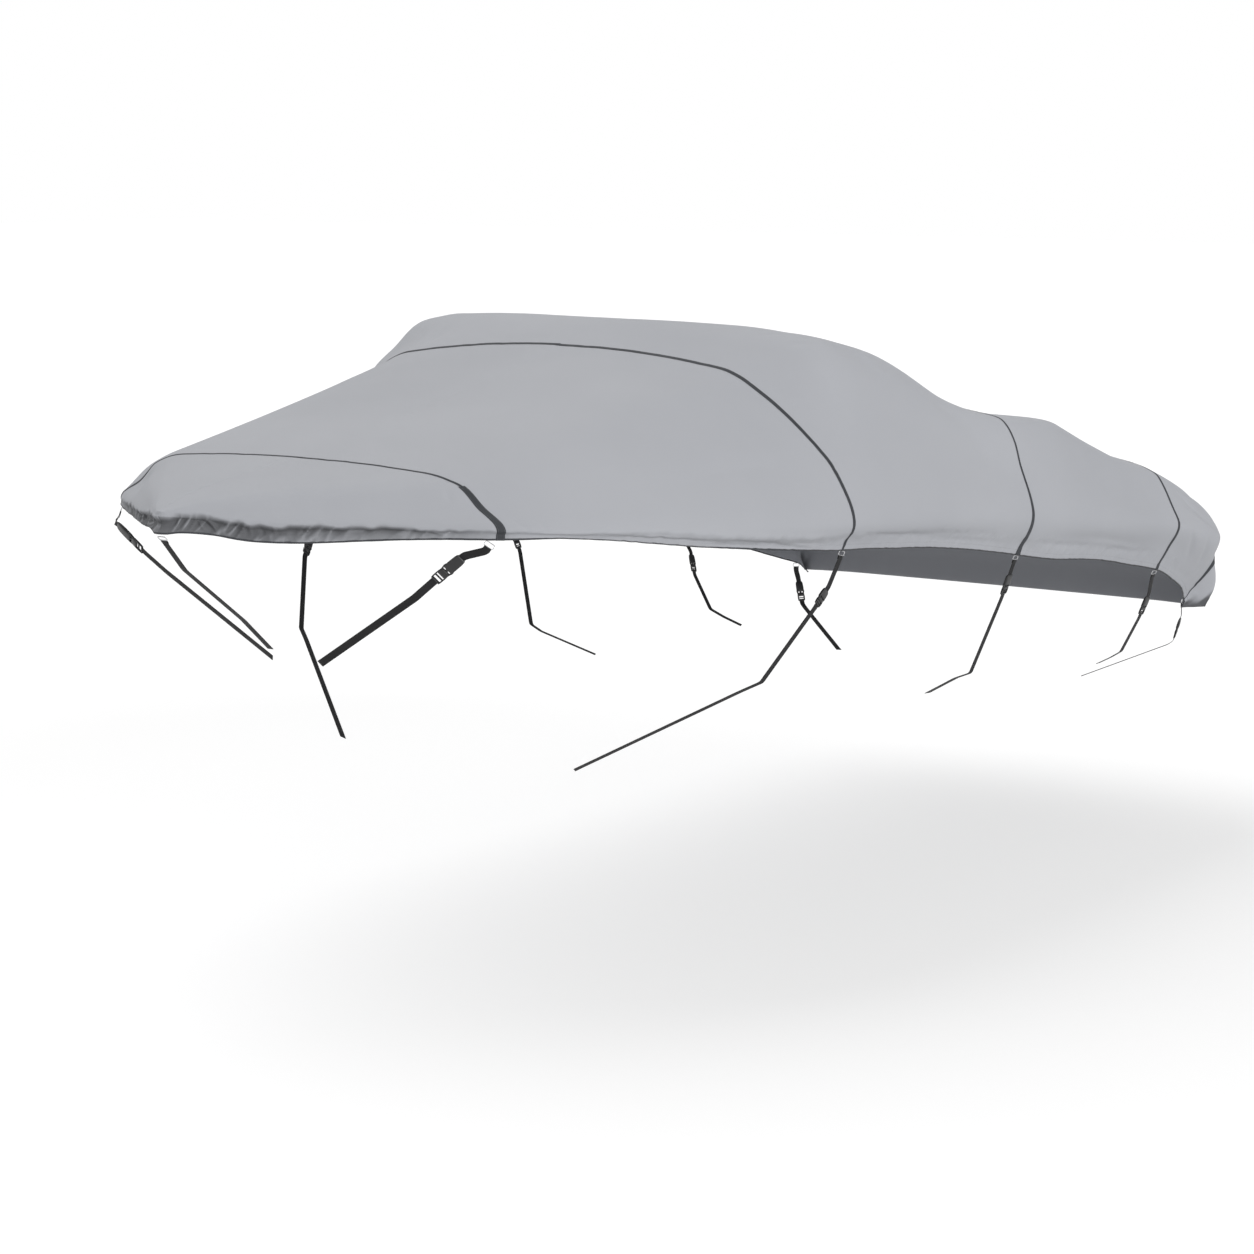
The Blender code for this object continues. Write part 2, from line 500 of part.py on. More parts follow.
def make_buckle(name, start, end, across, material):
    """A side-release buckle: a flat body that is drawn in at its waist, with a slot in each end
    that the webbing enters."""
    way = end - start
    length = np.linalg.norm(way)
    way /= length
    across = across - way * (across @ way)
    across /= np.linalg.norm(across)
    face = np.cross(way, across)
    width, thick = BUCKLE
    # distance along the buckle, share of its full width, share of its full thickness
    shape = [(0.0, 0.88, 0.55), (0.10, 1.0, 0.85), (0.40, 1.0, 1.0), (0.50, 0.80, 1.0),
             (0.62, 0.80, 0.95), (0.72, 1.0, 0.85), (0.92, 1.0, 0.75), (1.0, 0.90, 0.55)]
    corners = [(-0.5, 0.28), (-0.42, 0.5), (0.42, 0.5), (0.5, 0.28),
               (0.5, -0.28), (0.42, -0.5), (-0.42, -0.5), (-0.5, -0.28)]
    verts = []
    for part, w, t in shape:
        middle = start + way * length * part
        for a, b in corners:
            verts.append(middle + across * width * w * a + face * thick * t * b)
    sides = len(corners)
    faces = []
    for i in range(len(shape) - 1):
        for k in range(sides):
            a, b = i * sides + k, i * sides + (k + 1) % sides
            faces.append((a, b, b + sides, a + sides))
    slot = (WEB_WIDTH / 2 + SLOT_GAP, WEB_THICK / 2 + SLOT_GAP)
    for base, middle, inwards in ((0, start, way), ((len(shape) - 1) * sides, end, -way)):
        mouth = len(verts)
        for sink in (0.0, SLOT_DEPTH):
            for a, b in ((-1, 1), (1, 1), (1, -1), (-1, -1)):
                verts.append(middle + inwards * sink + across * slot[0] * a + face * slot[1] * b)
        rim = [base + k for k in range(sides)]
        hole = [mouth + k for k in range(4)]
        for k, (p, q) in enumerate(((0, 1), (2, 3), (4, 5), (6, 7))):
            faces.append((rim[p], rim[q], hole[k]))
            faces.append((rim[q], rim[(q + 1) % sides], hole[(k + 1) % 4], hole[k]))
        for k in range(4):
            faces.append((hole[k], hole[(k + 1) % 4], hole[(k + 1) % 4] + 4, hole[k] + 4))
        faces.append(tuple(h + 4 for h in hole))
    return add_object(name, verts, faces, material, smooth_angle=30.0)


def make_strap(number, seam, offset, points, side, label, made):
    """A side strap: hem ring, short sewn strap, buckle and long tail."""
    start, end, *bends = [place(p, side) for p in points]
    seat = hem_seat(ROW_AT[seam] + offset, side)
    bar, down, across, out = make_ring(f"ring_{number}_{label}", seat, start, made["steel"])
    way = (end - start) / np.linalg.norm(end - start)
    straight, mouth = 0.014, 0.001                   # the webbing runs straight into each slot
    short = eye_path(bar, down, out, start - way * straight)
    short += [start - way * mouth, start + way * WEB_IN_SLOT]
    ribbon(f"strap_{number}_{label}", short, across, WEB_WIDTH, WEB_THICK, made["webbing"])
    make_buckle(f"buckle_{number}_{label}", start, end, across, made["plastic"])
    tail = [end - way * WEB_IN_SLOT, end + way * mouth, end + way * straight, *bends]
    ribbon(f"tail_{number}_{label}", tail, across, WEB_WIDTH, WEB_THICK, made["webbing"])


def make_bow_strap(made):
    """The strap from the nose down along the stem."""
    spots = [place(p, 1.0) for p in BOW_STRAP]
    bar, down, across, out = make_ring("ring_bow", bow_seat(), spots[0], made["steel"])
    path = eye_path(bar, down, out, spots[0]) + spots[1:]
    ribbon("strap_bow", path, across, WEB_WIDTH, WEB_THICK, made["webbing"])


def main():
    for thing in list(bpy.data.objects):
        bpy.data.objects.remove(thing, do_unlink=True)
    made = make_finishes()
    for name, start, end, count in PANELS:
        make_panel(name, start, end, count, made["cloth"])
    for name, seam, at_crown, at_hem in TAPES:
        turn = FULL_ARCH
        if name == "tape_1":
            turn = FULL_ARCH[np.abs(FULL_ARCH) < BAND_START - 0.001]
        half = at_crown + (at_hem - at_crown) * np.abs(turn) ** TAPE_TAPER
        make_tape(name, seam, turn, half, TAPE_THICK, made["tape"])
    for label, side in (("port", -1.0), ("starboard", 1.0)):
        turn = side * COLUMNS[COLUMNS >= BAND_START - 0.001]
        make_tape(f"band_1_{label}", "seam 1", turn, np.full(len(turn), BAND_HALF), BAND_THICK,
                  made["tape"])
        for number, (seam, offset, points) in STRAPS.items():
            make_strap(number, seam, offset, points, side, label, made)
    make_bow_strap(made)


main()
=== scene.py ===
# %% [markdown]
# # A trailering cover for an open runabout
#
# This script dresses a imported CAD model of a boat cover. The real cover is sewn from six panels
# of coated polyester, with dark tape over the seams and webbing straps that tie it to a trailer.
# The boat is not part of the model: the cover is a hollow shell, shaped by what it lay on.
#
# Every cell makes one thing and prints what it made, so the script can be read like a notebook.
# Lengths are metres, and millimetres in the long tables. +Z is up, the bow points to -X and port
# is -Y.

import bmesh
import bpy
import numpy as np
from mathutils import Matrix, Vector


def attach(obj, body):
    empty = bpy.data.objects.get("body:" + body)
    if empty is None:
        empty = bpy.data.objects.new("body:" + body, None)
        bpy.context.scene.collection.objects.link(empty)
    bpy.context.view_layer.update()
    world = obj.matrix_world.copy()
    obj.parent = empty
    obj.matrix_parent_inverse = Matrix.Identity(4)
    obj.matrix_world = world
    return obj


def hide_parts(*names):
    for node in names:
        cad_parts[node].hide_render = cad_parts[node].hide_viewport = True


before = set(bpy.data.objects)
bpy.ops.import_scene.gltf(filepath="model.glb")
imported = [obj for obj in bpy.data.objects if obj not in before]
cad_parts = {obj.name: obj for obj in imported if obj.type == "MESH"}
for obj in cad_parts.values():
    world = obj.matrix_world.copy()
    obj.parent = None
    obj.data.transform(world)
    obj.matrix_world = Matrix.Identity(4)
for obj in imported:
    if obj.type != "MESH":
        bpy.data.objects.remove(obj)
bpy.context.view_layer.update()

# %% [markdown]
# ## Where the cover stands
#
# The frame's origin is the underside of the cloth's crest, 2.35 m aft of the bow tip and 2.06 m
# above the ground. The ground is a plain pale floor. A real studio would use a paper roll; a wide
# plane under an even white sky looks the same and hides nothing.

# %% Sizes and helpers that everything shares
MM = 1000.0
CREST_AFT = 2.35
CREST_HIGH = 2.06
CLOTH = 0.0025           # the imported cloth
SHEET_THICK = 0.0016     # the coated cloth that dresses it
GROUND = CLOTH - CREST_HIGH
PORT, STARBOARD = -1, 1                  # the signs of the two sides
MIRROR = np.array([1.0, -1.0, 1.0])      # port is the mirror image of starboard
WHITE = (1.0, 1.0, 1.0, 1.0)


def adjusted(thing, **settings):
    """A thing with its settings."""
    for key, value in settings.items():
        setattr(thing, key, value)
    return thing


def new_object(name, data):
    """An object in the scene's collection."""
    thing = bpy.data.objects.new(name, data)
    bpy.context.scene.collection.objects.link(thing)
    return thing


def feed(socket, value):
    """Link another node's output to an input, or set the input to a value."""
    if isinstance(value, bpy.types.NodeSocket):
        socket.id_data.links.new(value, socket)
    else:
        socket.default_value = value


def node(tree, kind, inputs=(), **settings):
    """A new node with its settings, and with what each of its inputs is fed."""
    made = adjusted(tree.nodes.new(kind), **settings)
    for key, value in dict(inputs).items():
        feed(made.inputs[key], value)
    return made


def new_material(name, **values):
    """A material, its node tree and its Principled shader, with values for the shader's inputs."""
    material = adjusted(bpy.data.materials.new(name), use_nodes=True)
    shader = material.node_tree.nodes["Principled BSDF"]
    for label, value in values.items():
        shader.inputs[label.replace("_", " ")].default_value = value
    return material, material.node_tree, shader


# %% [markdown]
# ## Camera and light
#
# The camera is far away with a long lens, so lines along the boat run together only a little. Two
# very wide lights stand in for soft boxes, a low one on the near side and a high one on the far
# side, and a white sky fills the shadows. Together they make the top and the sides almost equally
# bright, as in a product studio. Area lamps would light the floor unevenly at this size; a wide
# sun lights bow and stern alike and still gives cloth its long soft gradients. The sky looks
# brighter than it lights, and the floor sends no light back, which keeps those gradients.

# %% Camera
camera_data = adjusted(bpy.data.cameras.new("camera"), sensor_width=36.0, lens=94.74, clip_end=300.0)
camera = new_object("camera", camera_data)
camera.location = (-9.50, -6.88, 0.6925)
camera.rotation_euler = np.radians([81.3, 0.0, -54.2])
bpy.context.scene.camera = camera
bpy.context.scene.view_settings.view_transform = "Standard"
print("camera at", tuple(round(c, 2) for c in camera.location))

# %% Floor, sky and soft light
FLOOR_REACH = 60.0
FLOOR_GLOW = 0.46        # keeps the pale floor as white as the sky behind it
SKY_SEEN = 1.0           # how bright the sky looks, and how much light it gives
SKY_LIGHT = 0.41
SOFT_LIGHTS = [
    # name, where it comes from, how wide it is (degrees), strength
    ("light_near", (-0.20, -0.85, 0.13), 50.0, 2.77),
    ("light_far", (0.00, 0.40, 0.415), 70.0, 1.64),
]

floor_finish, _, _ = new_material("floor", Base_Color=(0.62, 0.62, 0.62, 1.0), Roughness=0.9,
                                  Emission_Color=WHITE, Emission_Strength=FLOOR_GLOW)
floor_mesh = bpy.data.meshes.new("floor")
square = np.array([(-1, -1, 0), (1, -1, 0), (1, 1, 0), (-1, 1, 0)], float)
floor_mesh.from_pydata((square * FLOOR_REACH + [0, 0, GROUND]).tolist(), [], [(0, 1, 2, 3)])
floor_mesh.materials.append(floor_finish)
floor = adjusted(new_object("floor", floor_mesh), visible_diffuse=False)

sky = adjusted(bpy.data.worlds.new("sky"), use_nodes=True)
bpy.context.scene.world = sky
tree = sky.node_tree
ray = node(tree, "ShaderNodeLightPath")
strength = node(tree, "ShaderNodeMix",
                {"Factor": ray.outputs["Is Camera Ray"], "A": SKY_LIGHT, "B": SKY_SEEN})
background = tree.nodes["Background"].inputs
feed(background["Color"], WHITE)
feed(background["Strength"], strength.outputs["Result"])

for light_name, source, width, energy in SOFT_LIGHTS:
    light_data = adjusted(bpy.data.lights.new(light_name, "SUN"), angle=np.radians(width), energy=energy)
    light = new_object(light_name, light_data)
    light.rotation_euler = Vector(source).to_track_quat("Z", "Y").to_euler()
print("floor at", round(GROUND, 4), "with", len(SOFT_LIGHTS), "soft lights")

# %% [markdown]
# ## The shape that the boat gave the cloth
#
# A fitted cover is a stack of arches. Each row below is one arch, from the crown down over the
# shoulder and the rubbing strake to the hem, and the rows run from the bow to the hood behind the
# transom. It could be sculpted, or draped by simulation over a modelled boat. The table is used
# because it is the same one the solids came from, so the cloth lands on them with no fitting.

# %% The sections of the cover
# in mm: x is measured aft of the bow tip, heights above the ground, halves from the centre plane
#    x_top  top_z shoulder sh_z swell x_edge edge edge_z x_hem hem hem_z
SECTIONS = np.array([
    (   0, 1600,   20, 1594,  0,    0,   32, 1580,    0,   28, 1522),
    (  30, 1612,   55, 1602,  2,   30,   72, 1574,   30,   66, 1530),
    (  80, 1628,  100, 1613,  4,   80,  130, 1566,   80,  120, 1527),
    ( 150, 1645,  175, 1622,  5,  150,  220, 1560,  150,  210, 1506),
    ( 250, 1663,  275, 1634,  6,  250,  342, 1553,  250,  330, 1498),
    ( 360, 1678,  385, 1642,  6,  360,  472, 1545,  360,  458, 1502),
    ( 500, 1693,  525, 1652,  4,  500,  640, 1536,  500,  626, 1507),
    ( 640, 1705,  638, 1658,  2,  640,  797, 1528,  640,  792, 1502),
    ( 800, 1735,  660, 1685, 12,  800,  903, 1514,  800,  886, 1498),
    (1000, 1775,  700, 1710, 22, 1000,  990, 1500, 1000,  965, 1476),
    (1250, 1823,  740, 1745, 33, 1250, 1075, 1482, 1250, 1043, 1440),
    (1500, 1872,  775, 1782, 40, 1500, 1135, 1466, 1500, 1098, 1407),
    (1750, 1927,  812, 1817, 44, 1750, 1178, 1456, 1750, 1137, 1379),
    (2000, 1990,  850, 1854, 45, 2000, 1208, 1448, 2000, 1157, 1357),
    (2120, 2025,  842, 1922, 46, 2120, 1212, 1440, 2120, 1160, 1349),
    (2230, 2051,  840, 2004, 45, 2230, 1214, 1433, 2230, 1162, 1338),
    (2350, 2060,  842, 2030, 42, 2350, 1215, 1425, 2350, 1163, 1327),
    (2480, 2050,  855, 1993, 38, 2480, 1215, 1416, 2480, 1163, 1316),
    (2640, 2015,  875, 1942, 34, 2640, 1215, 1405, 2640, 1162, 1297),
    (2820, 1955,  900, 1876, 30, 2820, 1214, 1390, 2820, 1160, 1273),
    (3000, 1868,  960, 1772, 24, 3000, 1212, 1372, 2995, 1156, 1246),
    (3200, 1764, 1068, 1708, 16, 3200, 1209, 1352, 3185, 1150, 1214),
    (3350, 1722, 1080, 1688, 15, 3350, 1210, 1336, 3335, 1148, 1188),
    (3520, 1692, 1068, 1670, 15, 3520, 1210, 1317, 3505, 1145, 1164),
    (3700, 1672, 1040, 1625, 15, 3700, 1210, 1293, 3685, 1142, 1146),
    (3880, 1635, 1040, 1564, 15, 3880, 1210, 1267, 3865, 1138, 1122),
    (4100, 1568, 1065, 1484, 14, 4100, 1209, 1235, 4080, 1130, 1082),
    (4360, 1500, 1100, 1409, 12, 4360, 1206, 1198, 4335, 1126, 1034),
    (4600, 1443, 1095, 1325, 12, 4600, 1192, 1160, 4550, 1087,  967),
    (4800, 1380, 1058, 1262, 17, 4800, 1157, 1124, 4715, 1042,  916),
    (4960, 1295,  985, 1198, 18, 4940, 1106, 1090, 4850,  986,  870),
    (5070, 1190,  905, 1115, 10, 5020, 1055, 1050, 4935,  947,  842),
    (5125, 1070,  870, 1030,  0, 5065, 1020,  985, 4975,  930,  828),
    (5150,  930,  900,  915,  0, 5105, 1012,  885, 4995,  920,  808),
    (5125,  790,  885,  786,  0, 5090,  980,  785, 5005,  905,  786),
]) / MM
ROW_OF = {"tip": 0, "seam 1": 7, "seam 2": 13, "seam 3": 21, "seam 4": 27, "seam 5": 32,
          "bottom": 34}
TOP_REACH = 0.80         # a helper point on the top lies at this share of the shoulder's half
TOP_DROP = 0.40          # and this share of the fall from crown to shoulder below the crown
SHOULDER_SHIFT = 0.25    # the shoulder follows the edge along the boat by this share
EDGE = 0.92              # place of the edge on an arch, from 0 at the crown to 1 at the hem
# places of the six points on an arch, after that of the helper point's mirror image
TURNS = np.array([-0.46, 0.0, 0.46, 0.58, 0.76, EDGE, 1.0])
print("sections:", len(SECTIONS), "arches")

# %% [markdown]
# ## From a table to a smooth surface
#
# Straight lines between the arches would show as flat facets. A curve that never swings past its
# points keeps the cloth from bulging between two arches, as a tight cover can't. Its bends still
# change a little suddenly at each arch, so the result is averaged over its neighbours afterwards.
# A subdivision surface would round everything alike, also where the cloth is tight over an edge.

# %% Curves through the table
def slopes_at(rise, step):
    """Slopes of a curve: the harmonic mean of the rises on both sides, and level where it turns."""
    before, after = rise[:-1], rise[1:]
    turning = before * after <= 0
    before_weight, after_weight = 2 * step[1:] + step[:-1], step[1:] + 2 * step[:-1]
    mean = (before_weight + after_weight) / (before_weight / np.where(turning, 1.0, before)
                                             + after_weight / np.where(turning, 1.0, after))
    return np.concatenate([rise[:1], np.where(turning, 0.0, mean), rise[-1:]])


def curve(values, width, places, at):
    """A curve through values that are a width apart, read along their places: on each step it is
    the cubic that has the values and the slopes of both ends."""
    left = np.clip(np.searchsorted(places, at, side="right") - 1, 0, len(places) - 2)
    part = ((at - places[left]) / np.diff(places)[left])[:, None, None]
    slope = slopes_at(np.diff(values, axis=0) / width, width)
    return (values[left] * (1 + 2 * part) * (1 - part) ** 2
            + values[left + 1] * part ** 2 * (3 - 2 * part)
            + width[left] * part * (1 - part) * (slope[left] * (1 - part) - slope[left + 1] * part))


def control_points(table):
    """Crown, top, shoulder, side, edge and hem of every section to starboard. The side lies
    outside the middle between shoulder and edge by the swell."""
    (x_top, top_z, shoulder, shoulder_z, swell, x_edge, edge, edge_z, x_hem, hem, hem_z) = table.T
    across, down = edge - shoulder, edge_z - shoulder_z
    length = np.hypot(across, down)
    side = (shoulder + edge) / 2 - swell * down / length
    side_z = (shoulder_z + edge_z) / 2 + swell * across / length
    x_shoulder = (1 - SHOULDER_SHIFT) * x_top + SHOULDER_SHIFT * x_edge
    points = [(x_top, 0 * top_z, top_z),
              (x_top, TOP_REACH * shoulder, top_z - TOP_DROP * (top_z - shoulder_z)),
              (x_shoulder, shoulder, shoulder_z),
              ((x_shoulder + x_edge) / 2, side, side_z),
              (x_edge, edge, edge_z),
              (x_hem, hem, hem_z)]
    return np.array(points).transpose(2, 0, 1) - [CREST_AFT, 0.0, CREST_HIGH - CLOTH]


CONTROL = control_points(SECTIONS)
run_steps = np.linalg.norm(np.diff(CONTROL[:, [0, 4]], axis=0), axis=2).mean(axis=1)
RUN = np.concatenate([[0.0], np.cumsum(run_steps)])
SEAM_RUN = {name: RUN[row] for name, row in ROW_OF.items()}
print("the cover is", round(RUN[-1], 3), "m long over its crown, measured along the cloth")


# %% The smooth half, on one even grid
ROWS_PER_SECTION = 24
TURN_STEPS = 320
ROW_BLUR = 0.24          # of the way between two sections
TURN_BLUR = 0.011        # of half a section


def half_surface(run, turn):
    """Every run (along the boat) and turn (0 crown, 1 hem) of the starboard half. An arch is a
    smooth curve through its six points, and through the mirrored top point before the crown."""
    rows = curve(CONTROL, np.diff(RUN)[:, None, None], RUN, run)
    arch = np.concatenate([rows[:, 1:2] * MIRROR, rows], axis=1).transpose(1, 0, 2)
    step = np.linalg.norm(np.diff(arch, axis=0), axis=2, keepdims=True)
    return curve(arch, step, TURNS, turn).transpose(1, 0, 2)


def averaged(values, spread, axis, mirror=None):
    """Values along an axis, each the bell-shaped average of its neighbours. Past an end they go on
    turned about it, so the end stays in place, or as the mirror image that is given."""
    values = np.moveaxis(values, axis, 0)
    reach = int(np.ceil(3 * spread))
    low = 2 * values[:1] - values[reach:0:-1]
    if mirror is not None:
        low = values[reach:0:-1] * mirror
    high = 2 * values[-1:] - values[-2:-reach - 2:-1]
    padded = np.concatenate([low, values, high])
    offsets = np.arange(-reach, reach + 1)
    weights = np.exp(-0.5 * (offsets / spread) ** 2)
    weights /= weights.sum()
    result = sum(w * padded[k:k + len(values)] for k, w in enumerate(weights))
    return np.moveaxis(result, 0, axis)


section_index = np.linspace(0, len(SECTIONS) - 1, (len(SECTIONS) - 1) * ROWS_PER_SECTION + 1)
grid_run = np.interp(section_index, np.arange(len(SECTIONS)), RUN)
grid_turn = np.linspace(0.0, 1.0, TURN_STEPS + 1)
half = half_surface(grid_run, grid_turn)
half = averaged(half, ROW_BLUR * ROWS_PER_SECTION, axis=0)
half = averaged(half, TURN_BLUR * TURN_STEPS, axis=1, mirror=MIRROR)
print("grid of", half.shape[0], "by", half.shape[1], "points on the starboard half")


# %% Normals and measures on the same grid
def unit(vectors):
    """Vectors of length one."""
    return vectors / np.maximum(np.linalg.norm(vectors, axis=-1, keepdims=True), 1e-12)


along_boat = np.gradient(half, axis=0)
around_arch = np.gradient(half, axis=1)
around_arch[:, 0] = half[:, 1] * [0, 2, 0]      # the crown lies between mirror images
half_normal = unit(np.cross(along_boat, around_arch))
leg = np.linalg.norm(np.diff(half, axis=1), axis=2)
from_crown = np.concatenate([np.zeros((len(half), 1)), np.cumsum(leg, axis=1)], axis=1)
above_hem = from_crown[:, -1:] - from_crown
aft_of_bow = np.repeat(half[:, int(EDGE * TURN_STEPS), 0][:, None] + CREST_AFT, half.shape[1], 1)
hem_leg = np.linalg.norm(np.diff(half[:, -1], axis=0), axis=1)
along_hem = np.repeat(np.concatenate([[0.0], np.cumsum(hem_leg)])[:, None], half.shape[1], 1)
print("longest arch from crown to hem", round(float(from_crown[:, -1].max()), 3), "m")


def blended(field, rows, columns, a, b):
    """A field between four of its points: a of the way between two rows, b between two columns."""
    left, right = (field[rows[0], j] * (1 - a) + field[rows[1], j] * a for j in columns)
    return left * (1 - b) + right * b


def look_up(field, run, turn):
    """A field of the grid at any run and turn, weighed from the four grid points around it."""
    row = np.interp(run, grid_run, np.arange(len(grid_run)))
    column = np.clip(np.abs(turn), 0, 1) * TURN_STEPS
    i = np.minimum(row.astype(int), len(grid_run) - 2)
    j = np.minimum(column.astype(int), TURN_STEPS - 1)
    a, b = row - i, column - j
    if field.ndim == 3:
        a, b = a[..., None], b[..., None]
    return blended(field, (i, i + 1), (j, j + 1), a, b)

# %% [markdown]
# ## Folds, creases and gathers
#
# A tight cover shows few folds: long soft ones where it is pulled, short ones where the top
# turns down, and a crinkled band below the bow's edge, where a straight strip of cloth is pulled
# in under a curved gunwale. A cloth simulation would place them by chance. They are placed one
# by one, each as a soft ridge or trough across the normal, so that they lie where real ones do.

# %% Where the folds, swells and creases are
SECTION_LENGTH = 1.55
# long folds that the solids have as well: from and to (x aft of the bow, place along the
# section), width across, height
FOLDS = np.array([
    (0.95, 0.945, 1.95, 0.965, 0.050, 0.006),
    (1.15, 0.780, 2.00, 0.765, 0.090, -0.006),
    (1.30, 0.985, 1.90, 0.990, 0.050, -0.007),
    (2.10, 0.965, 3.00, 0.970, 0.050, -0.006),
    (3.30, 0.960, 4.25, 0.965, 0.050, -0.008),
    (2.30, 0.480, 2.62, 0.640, 0.100, 0.006),
    (2.55, 0.560, 3.05, 0.660, 0.120, -0.010),
    (4.45, 0.700, 4.90, 0.900, 0.100, -0.008),
])
# broad swells and hollows that make the two sides differ, as on every real cover, in mm: place
# (x aft of the bow, height above the hem along the cloth), reach both ways, height
SWELLS = {PORT: [
    (2000, 330, 150, 90, 12), (2400, 900, 130, 160, -14), (2710, 810, 130, 160, 9),
    (3130, 640, 140, 160, -13), (3190, 440, 120, 70, 9), (3380, 700, 100, 120, -7),
    (3630, 570, 120, 160, 6), (4200, 520, 150, 160, -8), (4360, 110, 280, 55, -11),
    (4360, 210, 300, 30, 4), (4720, 420, 90, 120, -9),
], STARBOARD: [
    (2340, 1120, 280, 340, 13), (2200, 700, 80, 50, -4), (2120, 630, 90, 70, 11),
    (2270, 810, 70, 50, 5), (540, 160, 130, 100, -25), (800, 160, 100, 90, 21),
]}
# creases in mm: from and to (x aft of the bow, height above the hem along the cloth), width, height
CREASES = {PORT: [
    # long crease half way up the side, and the sweep of tension aft of seam 1
    (1020, 335, 1460, 325, 16, -1.2), (1400, 326, 2250, 288, 18, -1.6), (800, 30, 1300, 60, 22, 3),
    (1150, 52, 1980, 55, 26, 3.5), (950, 18, 1400, 30, 16, -4), (1350, 38, 1750, 20, 14, -3.5),
    (1620, 30, 1900, 12, 14, 3),
    # under the edge aft of seam 2 and of seam 3
    (2050, 62, 2550, 50, 20, -3.5), (2450, 46, 3100, 58, 20, 3), (3260, 62, 3750, 56, 24, -4.5),
    (3600, 80, 4200, 66, 24, 3.5), (3850, 50, 4300, 72, 22, -4),
    # small ones near the top, over the windshield's corner and behind it
    (2160, 1220, 2260, 1170, 30, -3), (2220, 1000, 2310, 950, 26, -3.5),
    (2200, 860, 2300, 800, 30, -4), (2330, 820, 2420, 760, 24, -5),
    (2410, 800, 2560, 720, 28, -4.5), (2500, 740, 2620, 680, 24, 3.5),
    (2030, 660, 2100, 600, 18, -2.5),
    # short upright ones beside the band of seam 1
    (600, 215, 572, 140, 16, -2.5), (684, 85, 712, 20, 14, -3.5), (745, 70, 770, 16, 12, -2),
    # the stern's corner
    (4460, 400, 4580, 320, 30, -4.5), (4470, 215, 4620, 100, 40, -6),
    (4660, 230, 4800, 110, 40, -6),
    # pleats in the bow's tucked band: ridges with hollows beside them
    (18, 48, 16, 16, 6, 5), (55, 42, 70, 10, 7, 6), (60, 48, 86, 12, 8, -6.5),
    (72, 46, 102, 2, 8, 8), (110, 48, 116, 6, 8, 6), (124, 50, 128, 10, 8, -6),
    (137, 52, 143, 6, 8, 6), (148, 47, 158, 8, 7, 3.5), (222, 30, 238, 0, 6, 4),
    (285, 12, 315, 44, 8, -4), (345, 36, 380, 32, 12, -5), (425, 28, 460, 24, 10, -4),
    (170, 50, 182, 6, 7, -5), (195, 52, 203, 10, 7, 4.5), (250, 46, 262, 6, 7, -4.5),
    (490, 32, 535, 6, 8, 4),
], STARBOARD: [
    # where the cloth turns over the windshield's far corner
    (2050, 880, 2170, 1000, 26, -5), (2100, 840, 2240, 930, 22, 4), (2150, 800, 2260, 860, 22, -4),
    # pleats in the bow's tucked band, which run together at the stem
    (105, 66, 12, 4, 8, 9), (75, 62, 16, 14, 9, -8), (145, 60, 45, 4, 10, -6.5),
    (200, 60, 150, 8, 10, 4.5), (235, 56, 190, 10, 10, -4.5), (275, 60, 225, 10, 10, 4),
    (365, 58, 315, 10, 12, 3.5),
]}
print(len(FOLDS), "long folds,", sum(map(len, SWELLS.values())), "swells,",
      sum(map(len, CREASES.values())), "creases")

# %% Where the cloth is tucked in and how the hem lies
# in mm: x aft of the bow, how deep the cloth is tucked in under the edge, how high above the hem
# the tuck begins, and how high its crinkles are
TUCK_X, TUCK_DEPTH, TUCK_START, CRINKLE = np.array([
    (0, 13, 60, 4.0), (150, 19, 54, 5.6), (350, 18, 52, 4.8), (520, 10, 32, 3.0),
    (800, 4, 26, 1.4), (1100, 5, 50, 2.0), (1600, 5, 60, 2.4), (2100, 3, 70, 1.8),
    (3000, 2, 80, 2.0), (5200, 1, 80, 2.4)]).T / MM
FAR_TUCK = 0.45          # on the starboard side of the bow the tuck is this share as deep
HOOD_START = 0.095       # the hood behind the transom is gathered in this far above its edge
HOOD_DEPTH = 0.007
# in mm: x aft of the bow, and how much higher than a smooth cut the hem is pulled on each side
HEM_X, HEM_PORT, HEM_STARBOARD = np.array([
    (0, 7, 7), (30, 3, 5), (80, 0, 4), (150, 0, 18), (250, 0, 20), (360, 0, 8), (500, 0, -5),
    (640, 0, 0)]).T / MM
HEM_PULLED = 0.085       # the pull fades out at this height above the hem
HEM_HIGH = 0.025         # the hem is folded up this far
HEM_FOLD = 0.0008        # and stands out by its second layer
CORD_UP = 0.006          # the cord in its edge lies this high
CORD_BULGE = 0.0014      # and lifts the cloth by this much, this far up and down
CORD_REACH = 0.0045
print("the tuck is up to", TUCK_DEPTH.max(), "m deep")


# %% Soft shapes that the lift is made of
def stroke(x, y, x_from, y_from, x_to, y_to, width):
    """1 along a line, falling as a bell across it and fading to its ends."""
    length = np.hypot(x_to - x_from, y_to - y_from)
    x_way, y_way = (x_to - x_from) / length, (y_to - y_from) / length
    part = ((x - x_from) * x_way + (y - y_from) * y_way) / length
    aside = (x - x_from) * y_way - (y - y_from) * x_way
    fade = np.clip(part, 0.0, 1.0) * np.clip(1.0 - part, 0.0, 1.0) * 4.0
    return fade * np.exp(-(aside / (0.5 * width)) ** 2)


def ramp(value, low, high):
    """0 below low, 1 above high, smooth between."""
    part = np.clip((value - low) / (high - low), 0.0, 1.0)
    return part * part * (3 - 2 * part)


